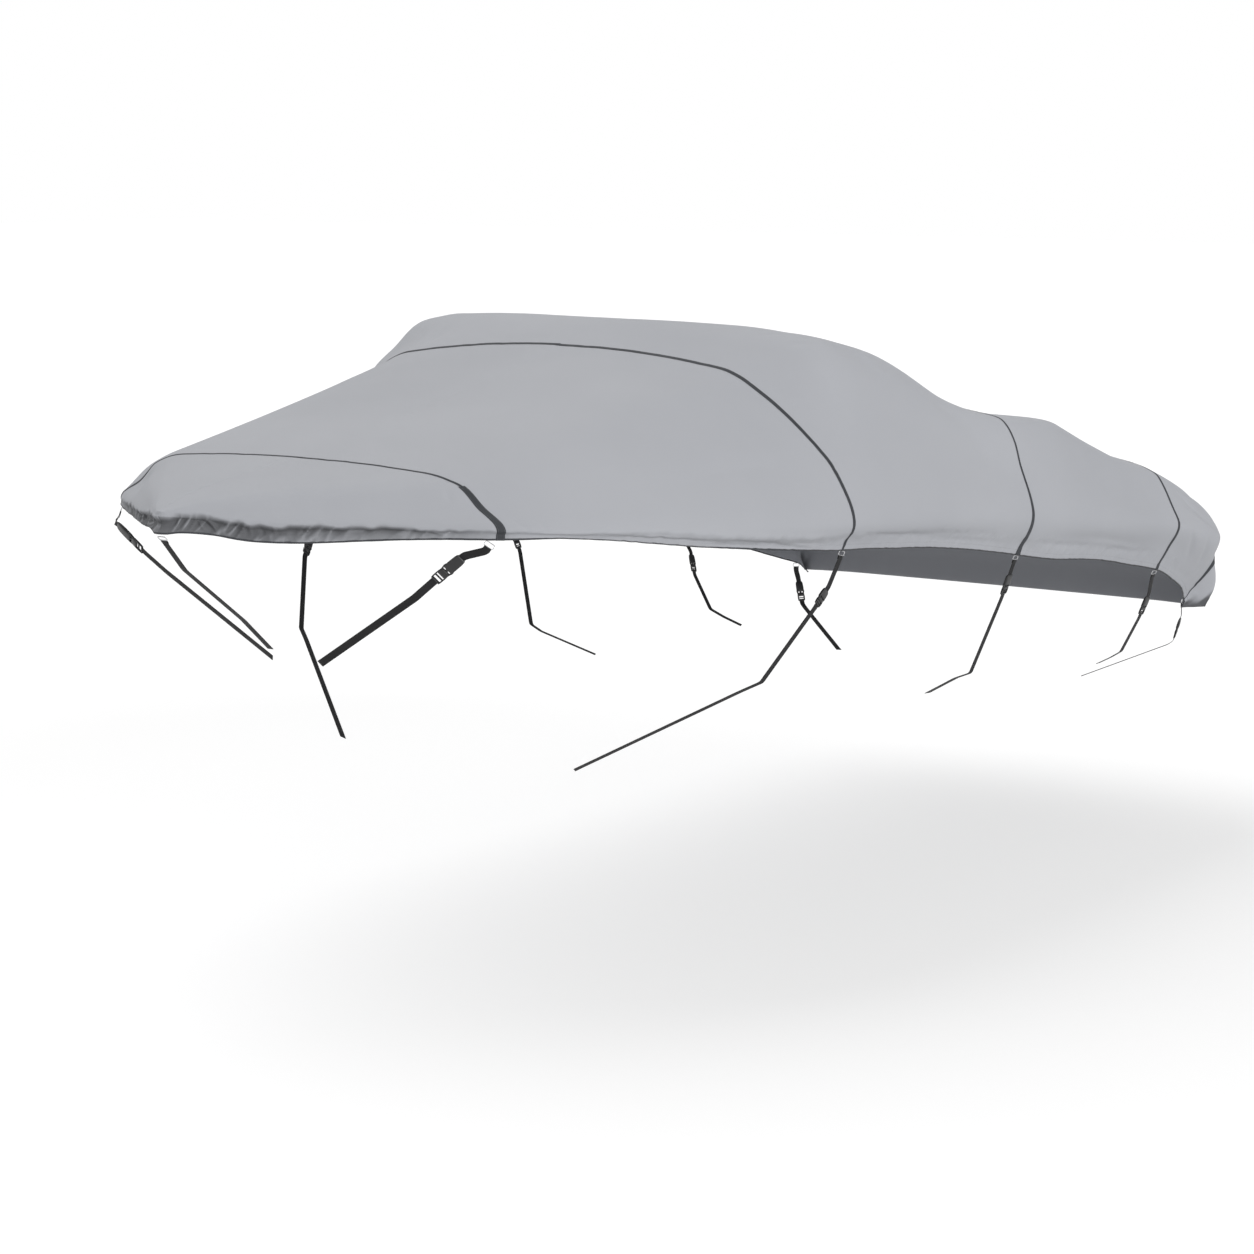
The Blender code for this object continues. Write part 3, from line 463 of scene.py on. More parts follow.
def soft_noise(u, v, seed):
    """Hills and hollows from -1 to 1: random heights on a square lattice, blended in between."""
    size = 97
    heights = np.random.RandomState(seed).uniform(-1.0, 1.0, (size, size))
    i, j = np.floor(u).astype(int), np.floor(v).astype(int)
    a, b = ramp(u - i, 0.0, 1.0), ramp(v - j, 0.0, 1.0)
    return blended(heights, (i % size, (i + 1) % size), (j % size, (j + 1) % size), a, b)


def spot(run, turn):
    """x aft of the bow, height above the hem, way along the hem, way from the crown, and side."""
    fields = (aft_of_bow, above_hem, along_hem, from_crown)
    return [look_up(field, run, turn) for field in fields] + [np.sign(turn)]


# %% Gathers
CRINKLE_WIDE = 0.024     # the crinkles along the hem, how far they run up, and how they lean
CRINKLE_HIGH = 0.060
CRINKLE_LEAN = 0.5
FINE_WIDE = 0.013        # the finer ones that are laid over them
FINE_HIGH = 0.030
GATHER_WIDE = 0.030      # the gathers at the hood's edge, and the wandering of the tuck's start
RIDGE_LESS_SHADED = 0.50       # the ridges get this share less painted shade than the hollows


def crinkles(above, hem_way, side):
    """Crinkles of the tucked cloth, from about -1 to 1: narrow ridges with wider hollows."""
    way = hem_way + CRINKLE_LEAN * above * side
    ridges = 1.0 - 2.6 * np.abs(soft_noise(way / CRINKLE_WIDE, above / CRINKLE_HIGH + 7.3, 11))
    return 0.6 * ridges + 0.5 * soft_noise(way / FINE_WIDE + 31.0 * (side > 0), above / FINE_HIGH, 23)


def tuck(x, above, hem_way, side):
    """How deep the tuck is, and how far up it a place lies: 0 at the hem, 1 at its start."""
    wander = 1.0 + 0.14 * soft_noise(hem_way / GATHER_WIDE, 2.0 + side, 71)
    return np.interp(x, TUCK_X, TUCK_DEPTH), above / (wander * np.interp(x, TUCK_X, TUCK_START))


def hood_gathers(run, turn, middle):
    """How far up the hood's gathered edge a place lies, 0 at its edge, and the gathers there."""
    part = (SEAM_RUN["bottom"] - run) / (HOOD_START * (1.0 + 0.8 * ramp(turn ** 2, 0.88, 1.0)))
    return part, soft_noise(np.sign(turn) * middle / GATHER_WIDE + 0.4 * part, 0.35 * part + 5.0, 61)


def painted_gather_shade(run, turn):
    """Shade painted into the gathered cloth: most where it is tucked in, less on the ridges."""
    x, above, hem_way, middle, side = spot(run, turn)
    depth, part = tuck(x, above, hem_way, side)
    port = np.where(side < 0, 0.10 + 0.45 * ramp(x, 0.12, 0.30), 0.0)
    shade = 1.0 - RIDGE_LESS_SHADED * ramp(crinkles(above, hem_way, side), 0.1, 0.9)
    shade *= 1.0 - port * ramp(0.72 - part, 0.0, 0.6)
    bow = ramp(depth, 0.004, 0.014) * ramp(1.12 - part, 0.0, 0.45) * shade
    part, gathers = hood_gathers(run, turn, middle)
    return np.maximum(bow, ramp(1.0 - part + 0.35 * gathers, 0.0, 0.6) * ramp(turn ** 2, 0.6, 0.8))


# %% What lifts the cloth off the smooth surface
# waviness of the whole cloth: height, size along the boat and across it, a shift that sets the
# two sides apart, seed
WAVES = [(0.0016, 0.45, 0.35, 11.0, 5), (0.0005, 0.13, 0.10, 17.0, 6)]
HEM_WRINKLE = 0.0009     # small wrinkles along the hem: height, width, reach up from it
WRINKLE_WIDE = 0.022
WRINKLE_REACH = 0.045
SEAM_PUCKER = 0.0007     # puckers beside the seams: height, width, reach away from the seam
PUCKER_WIDE = 0.035
PUCKER_REACH = 0.022
STEM_FADE = 0.02         # what differs from side to side fades out this far aft of the bow


def lift(run, turn, x, above, hem_way, middle, side):
    """How far the cloth stands off the smooth surface: first what differs from side to side and
    fades out at the stem, then the long folds, the tuck, the hood's gathers and the hem."""
    total = np.zeros(x.shape)
    for which in (PORT, STARBOARD):
        for x_at, up_at, x_reach, up_reach, height in np.array(SWELLS[which]) / MM:
            total += np.where(side == which, height, 0.0) * np.exp(
                -((x - x_at) / x_reach) ** 2 - ((above - up_at) / up_reach) ** 2)
        for *line, height in np.array(CREASES[which]) / MM:
            total += np.where(side == which, height, 0.0) * stroke(x, above, *line)
    depth, part = tuck(x, above, hem_way, side)
    strength = np.interp(x, TUCK_X, CRINKLE) * ramp(1.15 - part, 0.0, 0.35) * ramp(above, 0.0, 0.010)
    total += strength * crinkles(above, hem_way, side)
    wrinkles = soft_noise(hem_way / WRINKLE_WIDE, 3.0 + side * 4.0, 41)
    total += HEM_WRINKLE * wrinkles * ramp(WRINKLE_REACH - above, 0.0, 0.02)
    for height, long, wide, apart, seed in WAVES:
        total += height * soft_noise(x / long, middle / wide + side * apart, seed)
    for name, seam in SEAM_RUN.items():
        if name.startswith("seam"):
            away = np.abs(run - seam)
            total += SEAM_PUCKER * np.exp(-(away / PUCKER_REACH) ** 2) * soft_noise(
                middle / PUCKER_WIDE + side * 5.0, away / 0.06 + 3.0, 31)
    total *= ramp(x, 0.0, STEM_FADE)
    for *line, height in FOLDS * [1, SECTION_LENGTH, 1, SECTION_LENGTH, 1, 1]:
        total += height * stroke(x, SECTION_LENGTH * np.abs(turn), *line)
    depth *= np.where(turn < 0, 1.0, 1.0 + (FAR_TUCK - 1.0) * ramp(x, 0.0, 0.05))
    total -= depth * ramp(part, 0.0, 0.55) * ramp(1.08 - part, 0.0, 0.45)
    part, gathers = hood_gathers(run, turn, middle)
    total -= HOOD_DEPTH * ramp(1.0 - part, 0.0, 1.0) * (1.0 + 0.35 * gathers)
    total += HEM_FOLD * ramp(HEM_HIGH - above, 0.0, 0.003)
    return total + CORD_BULGE * np.exp(-((above - CORD_UP) / CORD_REACH) ** 2)


def cloth_at(run, turn, raised=0.0):
    """Points and normals of the cloth's outer face: the smooth surface, moved out by the lift."""
    mirror = np.where((turn < 0)[..., None], MIRROR, 1.0)
    point = look_up(half, run, turn) * mirror
    normal = unit(look_up(half_normal, run, turn)) * mirror
    x, above, *others = spot(run, turn)
    pull = np.where(turn < 0, np.interp(x, HEM_X, HEM_PORT), np.interp(x, HEM_X, HEM_STARBOARD))
    point[..., 2] += pull * ramp(HEM_PULLED - above, 0.0, HEM_PULLED)
    height = lift(run, turn, x, above, *others) + raised
    return point + normal * height[..., None], normal


# %% [markdown]
# ## Threads, tape and webbing as materials
#
# The cloth is a plain weave of about one thread to the millimetre under a matt coating, the tape
# and webbing are coarser ribs. All of them use one node group: two sets of rounded threads, laid
# over and under in turn, worked out from the piece's own UV map in metres. Image textures would
# repeat and need files. A second group gives the slow changes of tone that handling leaves.

# %% Node helpers
def math(tree, operation, *values):
    """A Math node: each input is a socket or a number."""
    return node(tree, "ShaderNodeMath", enumerate(values), operation=operation).outputs[0]


def mixed(tree, share, first, second, blend_type="MIX"):
    """A Mix node for colours, whose two colours are its inputs 6 and 7."""
    return node(tree, "ShaderNodeMix", {0: share, 6: first, 7: second}, data_type="RGBA",
                blend_type=blend_type).outputs[2]


def ranged(tree, value, low, high, start=0.0, end=1.0):
    """A Map Range node: what runs from start to end then runs from low to high."""
    inputs = {"Value": value, "From Min": start, "From Max": end, "To Min": low, "To Max": high}
    return node(tree, "ShaderNodeMapRange", inputs).outputs["Result"]


def new_group(name, inputs, outputs):
    """A shader node group, the values it is given, and the sockets of its results."""
    group = bpy.data.node_groups.new(name, "ShaderNodeTree")
    for direction, rows in (("INPUT", inputs), ("OUTPUT", outputs)):
        for label, kind, *value in rows:
            socket = group.interface.new_socket(label, in_out=direction, socket_type="NodeSocket" + kind)
            if value:
                socket.default_value = value[0]
    return group, node(group, "NodeGroupInput").outputs, node(group, "NodeGroupOutput").inputs


def place_group(tree, group, coordinates, **values):
    """A group placed in a material, with its coordinates and its own values."""
    inputs = {label.replace("_", " "): value for label, value in values.items()}
    inputs["Place"] = node(tree, "ShaderNodeTexCoord").outputs[coordinates]
    return node(tree, "ShaderNodeGroup", inputs, node_tree=group).outputs


# %% The woven threads
weave, given, result = new_group(
    "woven threads",
    [("Place", "Vector"), ("Threads per metre", "Float", 1000.0), ("Rib", "Float", 1.0)],
    [("Height", "Float"), ("Shade", "Float")])
split = node(weave, "ShaderNodeSeparateXYZ", {0: given["Place"]}).outputs
warp, weft = (math(weave, "MULTIPLY", split[axis], given["Threads per metre"]) for axis in "XY")
weft = math(weave, "MULTIPLY", weft, given["Rib"])
waves = [math(weave, "SINE", math(weave, "MULTIPLY", way, np.pi)) for way in (warp, weft)]
over = math(weave, "MULTIPLY", *waves)
rounded_thread = math(weave, "POWER", math(weave, "ABSOLUTE", over), 0.5)
feed(result["Height"], math(weave, "MULTIPLY_ADD", over, 0.25, rounded_thread))
feed(result["Shade"], math(weave, "MULTIPLY_ADD", over, 0.5, 0.5))

# %% Slow changes of tone
handled, given, result = new_group(
    "handled cloth",
    [("Place", "Vector"), ("Size", "Float", 1.0), ("Light", "Color", WHITE),
     ("Dark", "Color", (0.8, 0.8, 0.8, 1.0))],
    [("Colour", "Color"), ("Mask", "Float")])
broad = node(handled, "ShaderNodeTexNoise",
             {"Detail": 4.0, "Vector": given["Place"], "Scale": given["Size"]})
spread = ranged(handled, broad.outputs["Fac"], 0.0, 1.0, 0.3, 0.7)
feed(result["Colour"], mixed(handled, spread, given["Light"], given["Dark"]))
feed(result["Mask"], spread)
print("node groups:", weave.name, "and", handled.name)


# %% Woven materials
ROUGH_SPREAD = 0.05      # the roughness changes by this much either way


def bump(tree, shader, height, strength, depth):
    """Feed a height to the shader's normal."""
    made = node(tree, "ShaderNodeBump", {"Strength": strength, "Distance": depth, "Height": height})
    feed(shader.inputs["Normal"], made.outputs["Normal"])


def woven_material(name, light, dark, roughness, threads, rib, depth, patch, sheen):
    """Cloth or webbing: a slowly changing tone, threads from the UV map as bump and as a faint
    shade, and a roughness that follows the tone."""
    material, tree, shader = new_material(name, Sheen_Weight=sheen, Specular_IOR_Level=0.35)
    tone = place_group(tree, handled, "Object", Size=patch, Light=(*light, 1.0), Dark=(*dark, 1.0))
    thread = place_group(tree, weave, "UV", Threads_per_metre=threads, Rib=rib)
    faint = ranged(tree, thread["Shade"], 0.94, 1.0)
    feed(shader.inputs["Base Color"], mixed(tree, 1.0, tone["Colour"], faint, "MULTIPLY"))
    feed(shader.inputs["Roughness"],
         ranged(tree, tone["Mask"], roughness - ROUGH_SPREAD, roughness + ROUGH_SPREAD))
    bump(tree, shader, thread["Height"], 0.5, depth)
    return material


def paint_gather_shade_and_dark_hem(material, darkest, dark_hem_height, edge_colour):
    """Paint shade into the gathers, down to this share at most, and colour the edge up to a height."""
    tree = material.node_tree
    base = tree.nodes["Principled BSDF"].inputs["Base Color"]
    gathered, above = (node(tree, "ShaderNodeAttribute", attribute_name=label).outputs["Fac"]
                       for label in ("gathered", "above_hem"))
    share = math(tree, "MULTIPLY_ADD", gathered, darkest - 1.0, 1.0)
    shaded = mixed(tree, 1.0, base.links[0].from_socket, share, "MULTIPLY")
    edge = math(tree, "LESS_THAN", above, dark_hem_height)
    feed(base, mixed(tree, edge, shaded, (*edge_colour, 1.0)))


# name, light and dark tone, roughness, threads per metre, rib, depth, patches per metre, sheen
cloth_finish = woven_material("grey coated cloth", (0.435, 0.445, 0.475), (0.405, 0.415, 0.445),
                              0.72, 1100.0, 1.0, 0.0003, 1.3, 0.08)
# painted shade darkens the gathers; the lowest 6 mm above the hem are coloured dark grey
paint_gather_shade_and_dark_hem(cloth_finish, darkest=0.25, dark_hem_height=0.0060, edge_colour=(0.05, 0.053, 0.06))
tape_finish = woven_material("dark seam tape", (0.050, 0.053, 0.060), (0.036, 0.039, 0.045),
                             0.75, 1400.0, 0.6, 0.0003, 6.0, 0.03)
webbing_finish = woven_material("black webbing", (0.008, 0.008, 0.009), (0.005, 0.005, 0.006),
                                0.70, 800.0, 0.45, 0.0006, 9.0, 0.03)
print("woven finishes:", cloth_finish.name, "and", tape_finish.name, "and", webbing_finish.name)

# %% [markdown]
# ## The six panels
#
# Each panel is cut from flat cloth and reaches from hem to hem. It is made as one grid over run
# and turn with small squares, smaller below the edge where the gathers are, and Solidify gives it
# the cloth's thickness inwards. The first and last rows stop just short of the seam.

# %% Building a piece
def grid_faces(rows, columns):
    """The four corners of every square of a grid, as one array."""
    corner = np.arange((rows - 1) * columns).reshape(rows - 1, columns)[:, :-1].ravel()
    return np.stack([corner, corner + columns, corner + columns + 1, corner + 1], axis=1)


def tube_faces(rings, sides, closed=False):
    """Faces of a tube of rings with this many sides, joined end to end when closed."""
    start = np.arange(rings if closed else rings - 1)[:, None] * sides
    after = (start + sides) % (rings * sides)
    k = np.arange(sides)[None, :]
    m = (k + 1) % sides
    return np.stack([start + k, after + k, after + m, start + m], axis=-1).reshape(-1, 4)


def fill(items, label, values, kind=np.float32):
    """Put an array into one property of all items."""
    items.foreach_set(label, np.ascontiguousarray(values, kind).ravel())


def mesh_from(name, points, faces, material, uv=None, **measures):
    """A mesh object from arrays of points and faces, with a UV pair and measures of each point."""
    mesh = bpy.data.meshes.new(name)
    mesh.vertices.add(points.size // 3)
    fill(mesh.vertices, "co", points)
    mesh.loops.add(faces.size)
    fill(mesh.loops, "vertex_index", faces, np.int32)
    mesh.polygons.add(len(faces))
    fill(mesh.polygons, "loop_start", np.arange(0, faces.size, faces.shape[1]), np.int32)
    mesh.update(calc_edges=True)
    if uv is not None:
        fill(mesh.uv_layers.new(name="UVMap").data, "uv", uv.reshape(-1, 2)[faces.ravel()])
    for label, values in measures.items():
        fill(mesh.attributes.new(label, "FLOAT", "POINT").data, "value", values)
    mesh.materials.append(material)
    mesh.shade_smooth()
    return new_object(name, mesh)


def close_up(thing, outwards=True):
    """Merge points that lie on each other, and turn the faces of closed shells outwards."""
    work = bmesh.new()
    work.from_mesh(thing.data)
    bmesh.ops.remove_doubles(work, verts=work.verts, dist=1e-6)
    if outwards:
        bmesh.ops.recalc_face_normals(work, faces=work.faces)
    work.to_mesh(thing.data)
    work.free()
    return thing


def thicken(thing, thickness):
    """Give a sheet its thickness, on the inside of its faces."""
    adjusted(thing.modifiers.new("thickness", "SOLIDIFY"), thickness=thickness, offset=-1.0)
    return thing


def dress(thing, slot, *nodes):
    """A finished piece rides on the body and hides the CAD nodes it stands for; slot is not used."""
    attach(thing, "root")
    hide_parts(*nodes)
    return thing


# %% Cutting the panels
SEAM_SLIT = 0.0003
EDGE_TURN = 0.90         # from here on to the hem the columns lie closer together
# name, CAD node, its two seams, rows, columns above and below the edge, how it is held,
# and the flat piece it was cut from: width across the boat, length, area
PANELS = [
    ("bow_cloth", "panel_bow", "tip", "seam 1", 210, 52, 42, "stretched", (1.92, 1.10), 0.80),
    ("foredeck_cloth", "panel_fore", "seam 1", "seam 2", 155, 80, 32, "draped", (3.06, 1.45), 3.62),
    ("windshield_cloth", "panel_mid", "seam 2", "seam 3", 150, 80, 28, "draped", (3.42, 1.34), 4.22),
    ("cockpit_cloth", "panel_aft", "seam 3", "seam 4", 140, 80, 28, "draped", (3.36, 1.27), 3.90),
    ("stern_cloth", "panel_stern", "seam 4", "seam 5", 128, 80, 28, "stretched", (3.20, 1.12), 2.68),
    ("transom_cloth", "panel_transom", "seam 5", "bottom", 44, 80, 24, "draped", (2.30, 0.36), 0.64),
]
NOSE_ROWS = 8
NOSE_CROWDING = 1.5      # the bow panel's rows lie closer together towards the nose
NOSE_SLOPE = 1.33        # how fast the nose widens behind its tip


def turn_columns(upper, lower):
    """Places across half a section: even steps down to the edge, small ones from there on."""
    starboard = np.concatenate([np.linspace(0.0, EDGE_TURN, upper + 1),
                                np.linspace(EDGE_TURN, 1.0, lower + 1)[1:]])
    return np.concatenate([-starboard[:0:-1], starboard])


def nose_rows(first):
    """Rows that close the nose: each arch point joins its mirror image over a parabola."""
    share = np.linspace(0.5, 0.0, NOSE_ROWS + 1)[:-1, None, None]
    ahead = 2 * share * (1 - share) * np.abs(first[None, :, 1:2]) / NOSE_SLOPE
    closed = first[None] * [1.0, 0.0, 1.0] - ahead * [1.0, 0.0, 0.0]
    return closed + first[None] * [0.0, 1.0, 0.0] * (1 - 2 * share)


def make_panel(name, cad_node, start, end, rows, upper, lower, held, flat, area):
    """One panel: the cloth between two seams, from hem to hem."""
    low, high = SEAM_RUN[start], SEAM_RUN[end]
    even = np.linspace(0.0, 1.0, rows + 1)
    run = low + (high - low) * (even ** NOSE_CROWDING if start == "tip" else even)
    run[[0, -1]] += [SEAM_SLIT * (start != "tip"), -SEAM_SLIT * (end != "bottom")]
    run, turn = np.meshgrid(run, turn_columns(upper, lower), indexing="ij")
    points, _ = cloth_at(run, turn)
    across = np.where(turn < 0, -1, 1) * look_up(from_crown, run, turn)
    uv = np.stack([run, across], axis=-1)
    # the gathered cloth's painted shade goes to its material as a measure of each point
    measures = {"above_hem": look_up(above_hem, run, turn), "gathered": painted_gather_shade(run, turn)}
    if start == "tip":
        points = np.concatenate([nose_rows(points[0]), points])
        uv = np.concatenate([np.repeat(uv[:1], NOSE_ROWS, axis=0), uv])
        uv[:NOSE_ROWS, :, 0] -= np.linspace(0.03, 0.004, NOSE_ROWS)[:, None]
        measures = {label: np.concatenate([np.repeat(values[:1], NOSE_ROWS, axis=0), values])
                    for label, values in measures.items()}
    thing = mesh_from(name, points, grid_faces(*points.shape[:2]), cloth_finish, uv, **measures)
    if start == "tip":
        close_up(thing, outwards=False)
    thicken(thing, SHEET_THICK)
    dress(thing, "cloth", cad_node)
    return thing


for row in PANELS:
    panel = make_panel(*row)
    print(panel.name, len(panel.data.polygons), "squares")

# %% [markdown]
# ## Seam tapes
#
# Where two panels meet, a dark tape is sewn over the seam. It is a strip of the same surface,
# raised by its thickness, with thin edges. A curve with a flat profile would twist where the
# cloth turns down; a strip that reads the cloth's own surface can't leave it.

# %% Tapes and bands
# name, CAD node, seam, from and to along the section, half width at crown and at hem
TAPES = [
    ("seam_tape_1", "tape_1", "seam 1", -0.60, 0.60, 0.0060, 0.0060),
    ("seam_tape_2", "tape_2", "seam 2", -1.0, 1.0, 0.0076, 0.0046),
    ("seam_tape_3", "tape_3", "seam 3", -1.0, 1.0, 0.0032, 0.0160),
    ("seam_tape_4", "tape_4", "seam 4", -1.0, 1.0, 0.0068, 0.0105),
    ("seam_tape_transom", "tape_transom", "seam 5", -1.0, 1.0, 0.0330, 0.0075),
    ("webbing_band_port", "band_1_port", "seam 1", -1.0, -0.595, 0.0125, 0.0125),
    ("webbing_band_starboard", "band_1_starboard", "seam 1", 0.595, 1.0, 0.0125, 0.0125),
]
TAPE_RAISED = 0.0016     # the outer face of a tape above the cloth, and its thin edges
TAPE_EDGE = 0.0009
TAPE_THICK = 0.0008
TAPE_STEP = 0.006
TAPE_TAPER = 8           # the higher, the nearer the hem a tape changes its width
ACROSS = np.array([-1.0, -0.94, -0.6, -0.2, 0.2, 0.6, 0.94, 1.0])
CROWN = np.array([0.0, 0.8, 1.0, 1.0, 1.0, 1.0, 0.8, 0.0])      # share of the full thickness


def along_tape(turn_from, turn_to, at_crown, at_hem, step):
    """Turns in even steps along a tape, and half its width there."""
    turn = np.linspace(turn_from, turn_to, int(abs(turn_to - turn_from) * SECTION_LENGTH / step))
    return turn, at_crown + (at_hem - at_crown) * np.abs(turn) ** TAPE_TAPER


def make_tape(name, cad_node, seam, *measures):
    """A tape along a seam: its width and thickness are laid on the cloth's surface."""
    turn, half_width = along_tape(*measures, TAPE_STEP)
    run = SEAM_RUN[seam] + half_width[:, None] * ACROSS
    turn = np.repeat(turn[:, None], len(ACROSS), axis=1)
    points, _ = cloth_at(run, turn, TAPE_EDGE + CROWN * (TAPE_RAISED - TAPE_EDGE))
    uv = np.stack([np.sign(turn) * look_up(from_crown, run, turn), run - SEAM_RUN[seam]], axis=-1)
    thing = mesh_from(name, points, grid_faces(*turn.shape)[:, ::-1], tape_finish, uv)
    return dress(thicken(thing, TAPE_THICK), "tape", cad_node)


for row in TAPES:
    make_tape(*row)
print(len(TAPES), "tapes and bands")

# %% [markdown]
# ## Stitches
#
# Two rows of stitches hold each tape, and one row runs along the hem's fold. Each stitch is a
# tiny spindle of eight triangles that lies half in the cloth. A dashed line in the material would
# be cheaper, but it would show no thread when the camera comes close.

# %% Rows of stitches
STITCH_PITCH = 0.0045
STITCH_LENGTH = 0.0033
THREAD = 0.0004          # half the thickness of the thread
TAPE_STITCH = 0.72       # of half a tape's width
HEM_STITCH = 0.023       # above the hem's edge
SPINDLE = np.array([(0, 2, 1), (0, 3, 2), (0, 4, 3), (0, 1, 4),
                    (5, 1, 2), (5, 2, 3), (5, 3, 4), (5, 4, 1)])


def stitch_rows(name, rows, material, slot):
    """Spindles along lines of points and normals: each stitch lies between two of the points."""
    middle = np.concatenate([(points[1:] + points[:-1]) / 2 for points, _ in rows])
    way = np.concatenate([unit(np.diff(points, axis=0)) for points, _ in rows])
    up = np.concatenate([unit(normals[1:] + normals[:-1]) for _, normals in rows])
    beside = np.cross(way, up)
    corners = [-way * STITCH_LENGTH / 2, beside * THREAD, up * THREAD, -beside * THREAD,
               -up * THREAD, way * STITCH_LENGTH / 2]
    points = np.stack([middle + corner for corner in corners], axis=1)
    faces = (np.arange(len(middle))[:, None, None] * len(corners) + SPINDLE).reshape(-1, 3)
    print(name, len(middle))
    return dress(mesh_from(name, points, faces, material), slot)


tape_rows = []
for _, _, seam, *measures in TAPES:
    turn, half_width = along_tape(*measures, STITCH_PITCH)
    for edge in (-TAPE_STITCH, TAPE_STITCH):
        tape_rows.append(cloth_at(SEAM_RUN[seam] + edge * half_width, turn, TAPE_RAISED))
run = np.arange(SEAM_RUN["tip"] + 0.01, SEAM_RUN["bottom"] - 0.01, STITCH_PITCH)
NEAR_HEM = 0.95          # from this turn to the hem the cloth is nearly flat
per_turn = look_up(above_hem, run, np.full(len(run), NEAR_HEM)) / (1 - NEAR_HEM)
hem_rows = [cloth_at(run, side * (1 - HEM_STITCH / per_turn)) for side in (PORT, STARBOARD)]
print(len(tape_rows), "rows on tapes and", len(hem_rows), "along the hem")

# %% Thread, plastic and steel
grain, given, result = new_group(
    "fine grain",
    [("Place", "Vector"), ("Grain", "Float", 900.0), ("Stretch", "Vector", (1, 1, 1))],
    [("Height", "Float"), ("Mask", "Float")])
stretched = node(grain, "ShaderNodeVectorMath", {0: given["Place"], 1: given["Stretch"]},
                 operation="MULTIPLY").outputs["Vector"]
specks = node(grain, "ShaderNodeTexNoise",
              {"Detail": 2.0, "Vector": stretched, "Scale": given["Grain"]})
patches = node(grain, "ShaderNodeTexNoise", {"Scale": 40.0, "Vector": given["Place"]})
feed(result["Height"], specks.outputs["Fac"])
feed(result["Mask"], patches.outputs["Fac"])


def hard_material(name, colour, metallic, rough, scale, stretch, depth):
    """Moulded plastic, metal or thread: fine grain as bump, a roughness that changes in patches."""
    material, tree, shader = new_material(name, Base_Color=(*colour, 1.0), Metallic=metallic)
    detail = place_group(tree, grain, "Object", Grain=scale, Stretch=stretch)
    feed(shader.inputs["Roughness"], ranged(tree, detail["Mask"], *rough, 0.3, 0.7))
    bump(tree, shader, detail["Height"], 0.4, depth)
    return material


# name, colour, metallic, roughness from and to, grains per metre, their stretch, depth
thread_finish = hard_material("grey thread", (0.16, 0.165, 0.175), 0.0, (0.55, 0.75),
                              1500.0, (1.0, 1.0, 1.0), 0.0001)
plastic_finish = hard_material("black moulded plastic", (0.016, 0.016, 0.017), 0.0, (0.32, 0.48),
                               1200.0, (1.0, 1.0, 1.0), 0.0002)
steel_finish = hard_material("brushed steel", (0.56, 0.56, 0.57), 1.0, (0.25, 0.42),
                             500.0, (1.0, 1.0, 6.0), 0.0001)
stitch_rows("tape_stitches", tape_rows, thread_finish, "tape")
stitch_rows("hem_stitches", hem_rows, thread_finish, "cloth")

# %% [markdown]
# ## Rings
#
# A flat wire ring hangs under the hem wherever a strap is tied. It is a rounded rectangle, so its
# wire is a circle carried round that outline. Its place and its three directions are read from
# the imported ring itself: the widest, the middle and the narrowest direction of its points.

# %% Reading and rebuilding the rings
RING_WIRE = 0.0030
RING_INSIDE = (0.029, 0.012)
RING_CORNER = 0.004
CORNER_STEPS = 7
WIRE_SIDES = 12


def ring_frame(cad_node, target):
    """Centre of a packed ring, the way down it towards the target, across it and out of it."""
    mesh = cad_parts[cad_node].data
    points = np.empty(len(mesh.vertices) * 3, np.float32)
    mesh.vertices.foreach_get("co", points)
    points = np.unique(np.round(points.reshape(-1, 3).astype(float), 6), axis=0)
    centre = points.mean(axis=0)
    _, axes = np.linalg.eigh((points - centre).T @ (points - centre))
    across, down = axes[:, 2], axes[:, 1]
    across = across * np.sign(across[np.argmax(np.abs(across))])
    down = down * np.sign(down @ (np.asarray(target) - centre))
    return centre, down, across, np.cross(down, across)


def hard_piece(name, points, faces, material, slot, cad_node, uv=None):
    """A closed piece that stands for one CAD node."""
    return dress(close_up(mesh_from(name, points, faces, material, uv)), slot, cad_node)


def make_ring(cad_node, target):
    """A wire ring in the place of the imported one: a circle carried round a rounded rectangle."""
    centre, down, across, out = ring_frame(cad_node, target)
    half_w, half_h = (np.array(RING_INSIDE) + RING_WIRE) / 2
    corner_w = np.repeat([1, 1, -1, -1], CORNER_STEPS)[:, None] * (half_w - RING_CORNER)
    corner_h = np.repeat([-1, 1, 1, -1], CORNER_STEPS)[:, None] * (half_h - RING_CORNER)
    quarter = np.linspace(-90, 0, CORNER_STEPS)
    angle = np.radians(quarter + np.array([[0], [90], [180], [270]])).reshape(-1, 1)
    outward = np.cos(angle) * across + np.sin(angle) * down
    middle = centre + corner_w * across + corner_h * down + RING_CORNER * outward
    circle = np.linspace(0, 2 * np.pi, WIRE_SIDES, endpoint=False)[None, :, None]
    points = middle[:, None] + RING_WIRE / 2 * (outward[:, None] * np.cos(circle)
                                                + out * np.sin(circle))
    faces = tube_faces(len(middle), WIRE_SIDES, closed=True)
    hard_piece("steel_" + cad_node, points, faces, steel_finish, "steel", cad_node)
    return centre + down * half_h, down, across, out


# %% [markdown]
# ## Straps
#
# A side strap is two pieces of webbing with a side-release buckle between them. The short one is
# folded round the ring's bar and sewn to itself; the long one ran under the trailer and ends
# plainly, because the trailer is left out. Webbing under tension lies straight between its bends,
# so it is a profile carried along a line, and not a simulated cord or sheet.

# %% Webbing
WEB_WIDTH = 0.025
WEB_THICK = 0.0018
WEB_END = 0.9            # of its width, at a plain end
BAR_GAP = 0.0003         # between the webbing and the bar, and between its two layers
LAYER_GAP = 0.0002
SEWN = 0.014             # a strap is sewn to itself this far from the ring's bar
PATH_STEP = 0.004
BEND_BLUR = 1.3          # steps over which a bend is rounded
